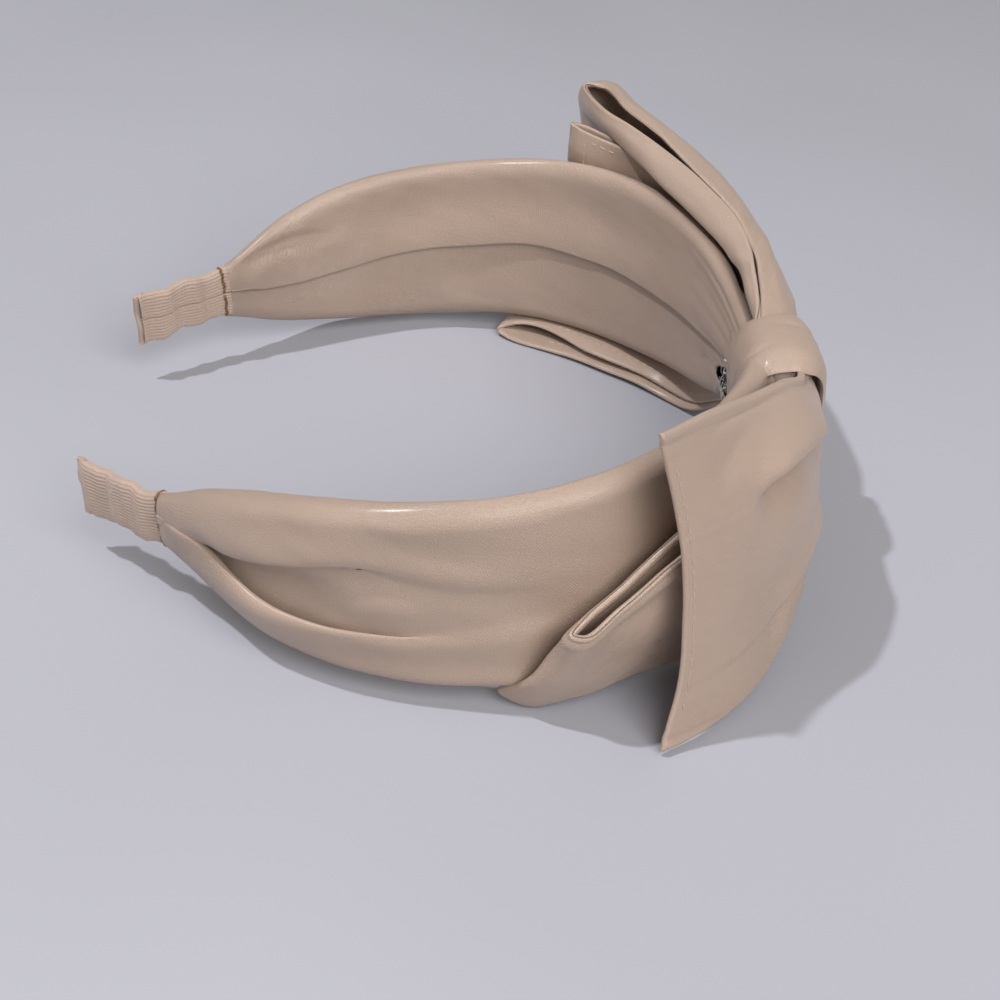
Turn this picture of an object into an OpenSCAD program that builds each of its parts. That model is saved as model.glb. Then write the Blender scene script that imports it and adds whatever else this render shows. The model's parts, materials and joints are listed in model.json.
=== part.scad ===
// Wide satin headband with a tied bow, lying on the long edges of its bow.
// X runs from the two tips to the crown, +Y is the left limb and +Z is up.

/* [Arch] */
// Mean radius of the arch line, seen along the width of the band
arch_mean = 63.8; // [62:0.1:66]
// How far the arch is stretched towards the crown
arch_stretch = 13.2; // [12:0.1:14]
// How much the arch is flattened at its sides
arch_flat = 4.6; // [4:0.1:5]
// How much the arch is squared at its shoulders
arch_square = -4.4; // [-5:0.1:-4]
// Angle from the crown to either tip, about the arch centre
tip_angle = 146; // [140:1:150]
// Height of the middle of the band in the arch's own frame
mid_height = 30; // [28:0.5:33]
// Lean of the arch: how far the tips droop below the crown, in degrees
arch_lean = 6.7; // [5:0.1:8]
// Height of the surface the part lies on, in the arch's own frame, below the arch centre
table_height = 10.2; // [9:0.1:11]

/* [Band] */
// Half width of the band at its widest
band_half = 20; // [17:0.5:22]
// Half width of the band where the knot pinches it
pinch_half = 12; // [10:0.5:14]
// Distance from the centre to where the band is widest
widest_x = 60; // [56:1:64]
// Thickness of the sprung core
core_thick = 1.2; // [1:0.1:1.8]
// Thickness of the foam pad on the outside of the core
pad_thick = 1.4; // [0.8:0.1:1.8]
// Thickness of the satin and its turnings
satin_thick = 0.8; // [0.5:0.1:1]
// How far the satin stands out from the arch line on the outside
cover_out = 3.4; // [3:0.1:4.5]
// How far the satin stands in from the arch line on the head side
cover_in = 2.2; // [1.8:0.1:3]

/* [Ribbon ends] */
// Half width of each ribbon end
ribbon_half = 5.2; // [4.5:0.1:6]
// Angle where the ribbon ends start
ribbon_angle = 124.5; // [122:0.5:127]
// Thickness of the ribbon
ribbon_thick = 0.6; // [0.4:0.1:0.8]

/* [Knot] */
// Width of the knot wrap along the band
wrap_wide = 17; // [14:0.5:18]
// Thickness of the knot wrap
wrap_thick = 1.4; // [1:0.1:1.8]
// Half height of the knot wrap
wrap_half = 15.5; // [14.5:0.5:17]
// How far the knot wrap reaches outside the arch line
wrap_out = 14; // [12:0.5:16]
// How far the knot wrap reaches inside the arch line
wrap_in = 4.7; // [4.5:0.1:5]

/* [Bow] */
// Width of the strip that the bow is tied from
bow_wide = 63; // [58:1:66]
// Thickness of one doubled layer of the strip
strip_thick = 1.3; // [1:0.1:1.6]

/* [Hidden] */
$fn = 48;

satin = [0.86, 0.76, 0.69];
satin_shade = [0.78, 0.66, 0.58];
ribbon_tone = [0.84, 0.72, 0.64];
core_tone = [0.12, 0.12, 0.12];
foam_tone = [0.93, 0.92, 0.90];
thread_tone = [0.62, 0.44, 0.30];

// Angle of the flex line between the crown and each limb
flex_angle = 9.5;
// Gap across the flex line
flex_gap = 1.0;
// Running gap between pieces that lie on each other
lay_gap = 0.1;
// Steps along each limb
limb_steps = 40;
// Taller than anything in the part
tall = 100;
// Wider than the part
broad = 300;
// Middle of the part's own box in plan, once the arch leans
box_middle = [19.6, 2.0];
crown_x = arch_radius(0);
ribbon_x = arch_radius(ribbon_angle) * cos(ribbon_angle);

// --- The arch line, in plan ---

// Distance of the arch line from the arch centre at angle a
function arch_radius(a) =
    arch_mean + arch_stretch * cos(a) + arch_flat * cos(2 * a) + arch_square * cos(3 * a);

// Change of that distance per radian
function arch_slope(a) =
    -arch_stretch * sin(a) - 2 * arch_flat * sin(2 * a) - 3 * arch_square * sin(3 * a);

// Direction straight out of the arch line at angle a
function arch_normal(a) =
    let (
        along = [
            arch_slope(a) * cos(a) - arch_radius(a) * sin(a),
            arch_slope(a) * sin(a) + arch_radius(a) * cos(a)
        ]
    )
    [along.y, -along.x] / norm(along);

// Point at angle a, a distance out from the arch line
function arch_point(a, out) = arch_radius(a) * [cos(a), sin(a)] + out * arch_normal(a);

// Smooth step from 0 to 1
function ease(t) = let (u = min(1, max(0, t))) u * u * (3 - 2 * u);

// Value between the ends of a pair
function between(pair, t) = pair[0] + (pair[1] - pair[0]) * t;

// Stretch of plan along the arch from one angle to another, with offsets that change along it
module plan(angles, inner, outer, steps = limb_steps) {
    polygon(concat(
        [for (i = [0:steps]) arch_point(between(angles, i / steps), between(outer, i / steps))],
        [for (i = [steps:-1:0]) arch_point(between(angles, i / steps), between(inner, i / steps))]
    ));
}

// --- Side shapes, in X and Z ---

// Half width of the band at distance x from the arch centre
function band_width(x) =
    x < ribbon_x ? ribbon_half :
    x < widest_x ? ribbon_half + (band_half - ribbon_half) * sqrt(sin(90 * (x - ribbon_x) / (widest_x - ribbon_x))) :
    band_half - (band_half - pinch_half) * pow((x - widest_x) / (crown_x - widest_x), 2);

// Side outline of the band, drawn in by an inset
module band_side(inset) {
    first = -60;
    last = crown_x + 8;
    steps = 48;
    stations = [for (i = [0:steps]) let (t = i / steps) first + (last - first) * t];
    polygon(concat(
        [for (x = stations) [x, mid_height + band_width(min(x, crown_x)) - inset]],
        [for (i = [steps:-1:0]) let (x = stations[i]) [x, mid_height - band_width(min(x, crown_x)) + inset]]
    ));
}

// Height of the surface the part lies on, in the arch's own frame, at distance x
function table_at(x) = table_height - tan(arch_lean) * x;

// Side outline given as stations of [x, clearance above the surface, highest]
module stations_side(stations) {
    count = len(stations);
    polygon(concat(
        [for (s = stations) [s[0], s[2]]],
        [for (i = [count - 1:-1:0]) [stations[i][0], table_at(stations[i][0]) + stations[i][1]]]
    ));
}

// Solid with the plan of the first child and the side of the second
module plan_and_side() {
    intersection() {
        translate([0, 0, -tall / 4]) linear_extrude(height = tall) children(0);
        rotate([90, 0, 0]) linear_extrude(height = broad, center = true) children(1);
    }
}

// Leans the arch and puts it into the part's own frame
module placed() {
    translate([-box_middle.x, -box_middle.y, -table_height * cos(arch_lean)])
        rotate([0, -arch_lean, 0]) children();
}

// Turns a left piece into its right twin
module twin(right) {
    mirror([0, right ? 1 : 0, 0]) children();
}

// --- Core and foam ---

module core_piece(angles, steps = limb_steps) {
    plan_and_side() {
        plan(angles, [-core_thick / 2, -core_thick / 2], [core_thick / 2, core_thick / 2], steps);
        band_side(satin_thick + 2 * lay_gap);
    }
}

module core_crown() {
    reach = flex_angle - flex_gap / 2;
    color(core_tone) placed() core_piece([-reach, reach], 12);
}

module core_limb(right) {
    color(core_tone) placed() twin(right) core_piece([flex_angle + flex_gap / 2, tip_angle - 1.2]);
}

module pad_limb(right) {
    low = core_thick / 2 + lay_gap;
    high = low + pad_thick;
    color(foam_tone) placed() twin(right) plan_and_side() {
        plan([flex_angle + flex_gap, ribbon_angle - 3], [low, low], [high, high - 0.6]);
        band_side(satin_thick + 0.6);
    }
}

// --- Satin cover and ribbon ends ---

module sleeve(angles, inner, outer, wall, past, steps = limb_steps) {
    difference() {
        plan_and_side() {
            plan(angles, inner, outer, steps);
            band_side(0);
        }
        plan_and_side() {
            plan(
                [angles[0] - past[0], angles[1] + past[1]],
                [inner[0] + wall, inner[1] + wall],
                [outer[0] - wall, outer[1] - wall],
                steps
            );
            band_side(wall);
        }
    }
}

module cover_crown() {
    reach = flex_angle - flex_gap / 2;
    color(satin) placed()
        sleeve([-reach, reach], [-cover_in, -cover_in], [cover_out, cover_out], satin_thick, [2, 2], 12);
}

module cover_limb(right) {
    color(satin) placed() twin(right) sleeve(
        [flex_angle + 2 * flex_gap, ribbon_angle - 0.6],
        [-cover_in, -core_thick / 2 - satin_thick - lay_gap],
        [cover_out, pad_thick + satin_thick + lay_gap],
        satin_thick,
        [2, 2]
    );
}

module ribbon_end(right) {
    stand = core_thick / 2 + ribbon_thick + lay_gap;
    color(ribbon_tone) placed() twin(right)
        sleeve([ribbon_angle + 0.6, tip_angle], [-stand, -stand], [stand, stand], ribbon_thick, [2, -0.8], 16);
}

module binding(right) {
    stand = core_thick / 2 + ribbon_thick + 0.5;
    color(thread_tone) placed() twin(right)
        sleeve([ribbon_angle - 0.5, ribbon_angle + 0.5], [-stand, -stand], [stand, stand], ribbon_thick, [1, 1], 2);
}

// --- Knot ---

// Rectangle with rounded corners, centred on x and z
module round_box(size, radius) {
    square([size.x, size.y - 2 * radius], center = true);
    square([size.x - 2 * radius, size.y], center = true);
    for (sx = [-1, 1])
        for (sz = [-1, 1])
            translate([sx * (size.x / 2 - radius), sz * (size.y / 2 - radius)]) circle(r = radius);
}

module across_band(wide) {
    rotate([90, 0, 0]) linear_extrude(height = wide, center = true) children();
}

module knot_wrap() {
    deep = wrap_in + wrap_out;
    middle = crown_x + (wrap_out - wrap_in) / 2;
    color(satin) placed() translate([middle, 0, mid_height]) across_band(wrap_wide) difference() {
        round_box([deep, 2 * wrap_half], 3.4);
        round_box([deep - 2 * wrap_thick, 2 * (wrap_half - wrap_thick)], 2);
    }
}

// Bundle of the strip, drawn together between the band and the wrap
module bow_gather() {
    first = crown_x + cover_out + 0.5;
    last = crown_x + wrap_out - wrap_thick - lay_gap;
    high = 2 * (wrap_half - wrap_thick - 1.4);
    color(satin_shade) placed() translate([(first + last) / 2, 0, mid_height])
        across_band(wrap_wide + 2) round_box([last - first, high], 3);
}

// Tacking stitches that close the wrap on the head side
module knot_stitches() {
    count = 6;
    length = 2.4;
    radius = 0.25;
    spacing = 3;
    face_x = crown_x - wrap_in - radius - 0.05;
    color(thread_tone) placed()
        for (i = [0:count - 1])
            translate([face_x, 0, mid_height + (i - (count - 1) / 2) * spacing])
                rotate([90 + 25, 0, 0]) cylinder(r = radius, h = length, center = true, $fn = 16);
}

// --- Bow ---

// Closed plan of a flat loop: two layers along the arch that meet in a round fold
module fold_plan(angles, inner, outer, wall) {
    middle = (inner[1] + outer[1]) / 2;
    difference() {
        fold_shape(angles, inner, outer, middle, 0);
        fold_shape([angles[0] - 2, angles[1]], inner, outer, middle, wall);
    }
}

module fold_shape(angles, inner, outer, middle, wall) {
    plan(angles, [inner[0] + wall, inner[1] + wall], [outer[0] - wall, outer[1] - wall], 24);
    translate(arch_point(angles[1], middle)) circle(r = (outer[1] - inner[1]) / 2 - wall);
}

// Loop on the left, the outer piece of the bow on that side
module loop_left() {
    color(satin) placed() plan_and_side() {
        fold_plan([13, 52], [7.6, 12.5], [14, 22], strip_thick);
        stations_side([
            [30, 1, 61.5],
            [56, 1, bow_wide - 1.5],
            [66, 2, 57],
            [78, 5, 52],
            [86, 10, 46],
            [100, 16, 42]
        ]);
    }
}

// Tail on the left, between the band and the loop, with its lower edge turned in under the band
module tail_left() {
    deep = 2 * strip_thick;
    color(satin) placed() {
        plan_and_side() {
            plan([13, 66], [4.2, 4.2], [4.2 + deep, 4.2 + deep]);
            stations_side([
                [26, 0, 10],
                [30, 0, 14],
                [48, 0, 58],
                [60, 0, 54],
                [72, 0, 48],
                [79, 6, 44],
                [90, 12, 42]
            ]);
        }
        plan_and_side() {
            union() {
                plan([22, 46], [3.4, -5], [4.2 + deep / 2, 4.2 + deep / 2], 16);
                plan([46, 64.5], [-5, -4], [4.2 + deep / 2, 4.2 + deep / 2], 14);
            }
            stations_side([[20, 0, table_at(20) + deep], [100, 0, table_at(100) + deep]]);
        }
    }
}

// Loop on the right, between the band and the tail
module loop_right() {
    color(satin) placed() mirror([0, 1, 0]) plan_and_side() {
        fold_plan([13, 63], [4.2, 4.2], [9.4, 11.5], strip_thick);
        stations_side([
            [24, 0, 12],
            [30, 0, 18],
            [42, 0, 34],
            [58, 0, 41],
            [74, 5, 43],
            [90, 13, 42]
        ]);
    }
}

// Tail on the right, the outer piece of the bow on that side
module tail_right() {
    deep = 2 * strip_thick;
    color(satin) placed() mirror([0, 1, 0]) plan_and_side() {
        plan([13, 51], [11.6, 14.6], [11.6 + deep, 14.6 + deep]);
        stations_side([
            [40, 0, bow_wide],
            [58, 0, bow_wide],
            [70, 0, 58],
            [79, 0, 52],
            [85, 6, 47],
            [89, 12, 43],
            [100, 16, 40]
        ]);
    }
}

core_crown();
core_limb(false);  // core_left
core_limb(true);  // core_right
pad_limb(false);  // pad_left
pad_limb(true);  // pad_right
cover_crown();
cover_limb(false);  // cover_left
cover_limb(true);  // cover_right
ribbon_end(false);  // ribbon_left
ribbon_end(true);  // ribbon_right
binding(false);  // binding_left
binding(true);  // binding_right
knot_wrap();
bow_gather();
knot_stitches();
loop_left();
loop_right();
tail_left();
tail_right();
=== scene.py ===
"""A wide satin hair hoop with ribbon ends and a flat bow tied through a knot at its crown."""

import json
import logging
import math
from dataclasses import dataclass, field
from enum import Enum
from typing import Optional, Sequence

import bpy
import numpy as np
from mathutils import Matrix


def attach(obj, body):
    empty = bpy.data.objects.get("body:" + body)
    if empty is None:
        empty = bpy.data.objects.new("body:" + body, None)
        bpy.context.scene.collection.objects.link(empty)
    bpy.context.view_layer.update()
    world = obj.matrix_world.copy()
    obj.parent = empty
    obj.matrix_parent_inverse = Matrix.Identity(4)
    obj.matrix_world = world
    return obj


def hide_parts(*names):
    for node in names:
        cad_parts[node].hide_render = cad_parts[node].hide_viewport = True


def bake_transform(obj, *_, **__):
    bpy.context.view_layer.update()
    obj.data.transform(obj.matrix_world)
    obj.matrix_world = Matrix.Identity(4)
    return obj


LOG = logging.getLogger("headband")
MM = 0.001
SEED = 7
COVER_ARC = 1.2
RIBBON_ARC = 1.35
BOW_ARC = 1.45
RIM_TURNS = np.radians([28.0, 52.0, 72.0, 86.0])

# COVER_ARC, RIBBON_ARC and BOW_ARC are millimetres of cloth for each degree of the arch.
# RIM_TURNS are the angles round the rim of a cut edge.

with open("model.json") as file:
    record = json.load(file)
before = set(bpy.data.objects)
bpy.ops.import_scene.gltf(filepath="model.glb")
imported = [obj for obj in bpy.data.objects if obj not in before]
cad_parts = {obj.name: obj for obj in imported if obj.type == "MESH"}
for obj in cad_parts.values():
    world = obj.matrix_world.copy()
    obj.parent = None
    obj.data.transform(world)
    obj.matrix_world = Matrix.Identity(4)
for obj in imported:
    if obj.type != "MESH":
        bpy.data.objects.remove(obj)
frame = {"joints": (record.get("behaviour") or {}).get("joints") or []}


class Side(Enum):
    """The two halves of the hoop: the sign is the side's direction along Y."""

    LEFT = 1
    RIGHT = -1

    @property
    def word(self) -> str:
        """Returns: the side's name as the CAD nodes spell it."""
        return self.name.lower()

    @property
    def limb(self) -> str:
        """Returns: the name of the CAD body on this side."""
        return f"{self.word}_limb"


# --- Small numeric helpers ---


def ease(t: np.ndarray) -> np.ndarray:
    """Smooth step.

    Args:
        t: values, clamped to 0..1.
    Returns:
        the eased values.
    """
    t = np.clip(t, 0.0, 1.0)
    return t * t * (3.0 - 2.0 * t)


def hermite(knots: Sequence[float], values: np.ndarray, t: np.ndarray) -> np.ndarray:
    """Smooth curve through values.

    Args:
        knots: increasing positions of the values.
        values: array whose first axis runs over the knots.
        t: positions to evaluate at.
    Returns:
        the values at t.
    """
    knots = np.asarray(knots, float)
    values = np.asarray(values, float)
    slopes = np.gradient(values, knots, axis=0)
    i = np.clip(np.searchsorted(knots, t, side="right") - 1, 0, len(knots) - 2)
    span = knots[i + 1] - knots[i]
    s = (t - knots[i]) / span
    shape = (-1,) + (1,) * (values.ndim - 1)
    s, span = s.reshape(shape), span.reshape(shape)
    return (
        values[i] * (2 * s**3 - 3 * s**2 + 1)
        + slopes[i] * span * (s**3 - 2 * s**2 + s)
        + values[i + 1] * (3 * s**2 - 2 * s**3)
        + slopes[i + 1] * span * (s**3 - s**2)
    )


def ripples(a: np.ndarray, b: np.ndarray, longest: float, seed: int, count: int = 6) -> np.ndarray:
    """Gentle random waves over a surface.

    Args:
        a: coordinate along the surface, in millimetres.
        b: coordinate across it.
        longest: longest wavelength, in millimetres.
        seed: picks the waves.
        count: how many waves are summed.
    Returns:
        heights of about -1 to 1.
    """
    rng = np.random.default_rng(SEED + seed)
    total = np.zeros(np.broadcast(a, b).shape)
    for i in range(count):
        length = longest / (1.0 + 0.6 * i)
        turn = rng.uniform(0, math.tau)
        phase = rng.uniform(0, math.tau)
        along = a * math.cos(turn) + b * math.sin(turn)
        total += np.sin(math.tau * along / length + phase) / (1.0 + 0.7 * i)
    return total / 2.2


def unit(v: np.ndarray) -> np.ndarray:
    """Unit vectors.

    Args:
        v: vectors along the last axis.
    Returns:
        the same directions at length 1.
    """
    return v / np.maximum(np.linalg.norm(v, axis=-1, keepdims=True), 1e-9)


# --- The arch that every piece follows ---


@dataclass(frozen=True)
class Arch:
    """The arch line in its own leaning frame, in millimetres and degrees.

    The two flex joints give the lean and the place of the arch in the row frame.

    Args:
        mean: mean distance of the line from the arch centre.
        stretch: how much further the crown is than the tips.
        flat: second harmonic of the line.
        square: third harmonic of the line.
        middle: height of the middle of the band.
        hinge_x: distance of the flex joints from the arch centre.
    """

    mean: float = 63.8
    stretch: float = 13.2
    flat: float = 4.6
    square: float = -4.4
    middle: float = 30.0
    hinge_x: float = 76.5

    def radius(self, angle: np.ndarray) -> np.ndarray:
        """Args: angle from the crown. Returns: distance of the line from the arch centre."""
        a = np.radians(angle)
        return (
            self.mean
            + self.stretch * np.cos(a)
            + self.flat * np.cos(2 * a)
            + self.square * np.cos(3 * a)
        )

    def point(self, angle: np.ndarray, out: np.ndarray) -> tuple[np.ndarray, np.ndarray]:
        """Point of the plan.

        Args:
            angle: degrees from the crown.
            out: distance outward from the arch line.
        Returns:
            x and y in the arch frame.
        """
        a = np.radians(angle)
        r = self.radius(angle)
        slope = (
            -self.stretch * np.sin(a)
            - 2 * self.flat * np.sin(2 * a)
            - 3 * self.square * np.sin(3 * a)
        )
        tx = slope * np.cos(a) - r * np.sin(a)
        ty = slope * np.sin(a) + r * np.cos(a)
        n = np.hypot(tx, ty)
        return r * np.cos(a) + out * ty / n, r * np.sin(a) - out * tx / n

    def place(self, angle: np.ndarray, out: np.ndarray, z: np.ndarray, side: Side) -> np.ndarray:
        """Points of the arch frame.

        Args:
            angle: degrees from the crown.
            out: distance outward from the arch line.
            z: height in the arch frame.
            side: which half of the hoop.
        Returns:
            xyz in millimetres, in the arch frame.
        """
        x, y = self.point(np.asarray(angle, float), np.asarray(out, float))
        return np.stack(np.broadcast_arrays(x, side.value * y, np.asarray(z, float)), axis=-1)

    def to_row(self, points: np.ndarray) -> np.ndarray:
        """Leans points and puts them in the row frame.

        Args:
            points: xyz in the arch frame, millimetres.
        Returns:
            xyz in the row frame, metres.
        """
        joints = {j["name"]: j for j in frame["joints"]}
        left, right = joints["left_limb_flex"], joints["right_limb_flex"]
        axis = np.array(right["axis"], float)
        turn = np.array([[axis[2], 0, axis[0]], [0, 1, 0], [-axis[0], 0, axis[2]]])
        seat = (np.array(left["pos_m"]) + np.array(right["pos_m"])) / 2
        anchor = turn @ np.array([self.hinge_x, 0.0, self.middle]) * MM
        return np.asarray(points, float) @ turn.T * MM + (seat - anchor)

    def direction(self, vector: Sequence[float]) -> np.ndarray:
        """Args: vector in the arch frame. Returns: the same direction in the row frame."""
        ends = self.to_row(np.array([[0.0, 0.0, 0.0], list(vector)]))
        return unit(ends[1] - ends[0])


ARCH = Arch()


# --- Meshes from grids of points ---


@dataclass
class Grid:
    """A grid of points in the arch frame, with how far each is along and across the cloth.

    Args:
        points: (along, across, xyz), millimetres.
        closed: whether the last column joins the first.
    """

    points: np.ndarray
    closed: bool = False

    def normals(self) -> np.ndarray:
        """Returns: unit normals at every point."""
        p = self.points
        along = np.gradient(p, axis=0)
        if self.closed:
            across = (np.roll(p, -1, axis=1) - np.roll(p, 1, axis=1)) / 2
        else:
            across = np.gradient(p, axis=1)
        return unit(np.cross(along, across))

    def spans(self) -> tuple[np.ndarray, np.ndarray]:
        """Returns: distance of each point along and across the cloth, in millimetres."""
        p = self.points
        u, v = np.zeros(p.shape[:2]), np.zeros(p.shape[:2])
        u[1:] = np.cumsum(np.linalg.norm(np.diff(p, axis=0), axis=-1), axis=0)
        v[:, 1:] = np.cumsum(np.linalg.norm(np.diff(p, axis=1), axis=-1), axis=1)
        return u, v

    def lifted(self, height: np.ndarray) -> "Grid":
        """Args: height moved along the normals, mm. Returns: the moved grid."""
        return Grid(self.points + self.normals() * height[..., None], self.closed)

    def rounded(self, half: float) -> tuple["Grid", np.ndarray]:
        """Grows the open edges by a rounded rim.

        Args:
            half: half the thickness of the cloth, mm.
        Returns:
            the larger grid and the half thickness at each of its points.
        """
        p = self.points
        thick = np.full(p.shape[:2], half)
        for axis in (0,) if self.closed else (0, 1):
            p, thick = self._rim(p, thick, axis, half)
        return Grid(p, self.closed), thick

    @staticmethod
    def _rim(
        p: np.ndarray, thick: np.ndarray, axis: int, half: float
    ) -> tuple[np.ndarray, np.ndarray]:
        """Adds a rim at both ends of one axis.

        Args:
            p: points.
            thick: half thickness at each point.
            axis: 0 for along, 1 for across.
            half: half thickness of the cloth.
        Returns:
            the larger arrays.
        """
        p = np.moveaxis(p, axis, 0)
        t = np.moveaxis(thick, axis, 0)
        first, last = unit(p[0] - p[1]), unit(p[-1] - p[-2])
        before = [p[0] + first * half * math.sin(a) for a in RIM_TURNS[::-1]]
        after = [p[-1] + last * half * math.sin(a) for a in RIM_TURNS]
        thin_before = [t[0] * math.cos(a) for a in RIM_TURNS[::-1]]
        thin_after = [t[-1] * math.cos(a) for a in RIM_TURNS]
        p = np.concatenate([before, p, after])
        t = np.concatenate([thin_before, t, thin_after])
        return np.moveaxis(p, 0, axis), np.moveaxis(t, 0, axis)


@dataclass
class Solid:
    """Vertices, faces and cloth coordinates that become one Blender object.

    Args:
        verts: blocks of points, mm.
        faces: faces by index.
        cloth: blocks of cloth coordinates, mm.
        count: how many points there are so far.
    """

    verts: list[np.ndarray] = field(default_factory=list)
    faces: list[tuple[int, ...]] = field(default_factory=list)
    cloth: list[np.ndarray] = field(default_factory=list)
    count: int = 0

    def add(self, points: np.ndarray, cloth: np.ndarray, faces: list[tuple[int, ...]]) -> None:
        """Args: points xyz mm, cloth coordinates mm, faces by local index."""
        self.verts.append(points)
        self.cloth.append(cloth)
        self.faces.extend(tuple(self.count + i for i in f) for f in faces)
        self.count += len(points)

    def skin(self, grid: Grid, half: np.ndarray, both: bool = True) -> None:
        """Adds a closed skin round a grid.

        Args:
            grid: the middle surface, or the outer surface if both is False.
            half: half thickness at each point, mm.
            both: whether the cloth is grown on both sides of the grid.
        """
        n = grid.normals()
        u, v = grid.spans()
        upper = grid.points + n * half[..., None] if both else grid.points
        lower = grid.points - n * half[..., None] * (1.0 if both else 2.0)
        rows, cols = grid.points.shape[:2]
        size = rows * cols
        index = np.arange(size).reshape(rows, cols)
        quads: list[tuple[int, ...]] = []
        wrap = cols if grid.closed else cols - 1
        for i in range(rows - 1):
            for j in range(wrap):
                k = (j + 1) % cols
                a, b, c, d = index[i, j], index[i + 1, j], index[i + 1, k], index[i, k]
                quads.append((a, b, c, d))
                quads.append((d + size, c + size, b + size, a + size))
        for i, flip in ((0, False), (rows - 1, True)):
            for j in range(wrap):
                k = (j + 1) % cols
                q = (index[i, j], index[i, k], index[i, k] + size, index[i, j] + size)
                quads.append(q[::-1] if flip else q)
        if not grid.closed:
            for j, flip in ((0, True), (cols - 1, False)):
                for i in range(rows - 1):
                    q = (index[i, j], index[i + 1, j], index[i + 1, j] + size, index[i, j] + size)
                    quads.append(q if flip else q[::-1])
        flat = np.stack([u, v], axis=-1).reshape(-1, 2)
        points = np.concatenate([upper.reshape(-1, 3), lower.reshape(-1, 3)])
        self.add(points, np.concatenate([flat, flat]), quads)

    def tube(self, path: np.ndarray, radius: float, sides: int = 8, ring: bool = False) -> None:
        """Adds a round thread along a path.

        Args:
            path: points, mm.
            radius: radius of the thread, mm.
            sides: corners of its section.
            ring: whether the path closes on itself.
        """
        if ring:
            tangent = unit(np.roll(path, -1, axis=0) - np.roll(path, 1, axis=0))
        else:
            tangent = unit(np.gradient(path, axis=0))
        aside = unit(np.cross(tangent, np.array([0.31, 0.17, 0.93])))
        up = np.cross(tangent, aside)
        turn = np.linspace(0, math.tau, sides, endpoint=False)
        swell = np.ones(len(path))
        if not ring:
            ends = np.linspace(-1, 1, len(path))
            swell = np.sqrt(np.clip(1.0 - np.abs(ends) ** 8, 0.02, 1.0))
        points = (
            path[:, None]
            + radius * swell[:, None, None] * np.cos(turn)[None, :, None] * aside[:, None]
            + radius * swell[:, None, None] * np.sin(turn)[None, :, None] * up[:, None]
        )
        rows = len(path)
        steps = rows if ring else rows - 1
        faces: list[tuple[int, ...]] = []
        for i in range(steps):
            for j in range(sides):
                k, m = (j + 1) % sides, (i + 1) % rows
                faces.append((i * sides + j, m * sides + j, m * sides + k, i * sides + k))
        if not ring:
            faces.append(tuple(range(sides)))
            faces.append(tuple(range(rows * sides - 1, (rows - 1) * sides - 1, -1)))
        along = np.repeat(np.arange(rows, dtype=float) * 0.3, sides)
        round_it = np.tile(turn * radius, rows)
        self.add(points.reshape(-1, 3), np.stack([along, round_it], axis=-1), faces)

    def build(self, name: str, material: bpy.types.Material) -> bpy.types.Object:
        """Makes the Blender object, in the row frame.

        Args:
            name: name of the piece.
            material: its finish.
        Returns:
            the object.
        """
        mesh = bpy.data.meshes.new(name)
        verts = ARCH.to_row(np.concatenate(self.verts))
        mesh.from_pydata(verts.tolist(), [], self.faces)
        layer = mesh.uv_layers.new(name="cloth")
        corners = np.zeros(len(mesh.loops), np.int32)
        mesh.loops.foreach_get("vertex_index", corners)
        layer.data.foreach_set("uv", (np.concatenate(self.cloth) * MM)[corners].ravel())
        mesh.materials.append(material)
        mesh.polygons.foreach_set("use_smooth", [True] * len(mesh.polygons))
        mesh.validate()
        mesh.update()
        obj = bpy.data.objects.new(name, mesh)
        bpy.context.scene.collection.objects.link(obj)
        return obj


# --- Finishes ---


def new_group(name: str, inputs: dict[str, str], outputs: dict[str, str]) -> bpy.types.NodeTree:
    """Makes an empty shader node group.

    Args:
        name: name of the group.
        inputs: socket names and types.
        outputs: socket names and types.
    Returns:
        the group.
    """
    group = bpy.data.node_groups.new(name, "ShaderNodeTree")
    for socket, kind in inputs.items():
        group.interface.new_socket(socket, in_out="INPUT", socket_type=kind)
    for socket, kind in outputs.items():
        group.interface.new_socket(socket, in_out="OUTPUT", socket_type=kind)
    return group


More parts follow.
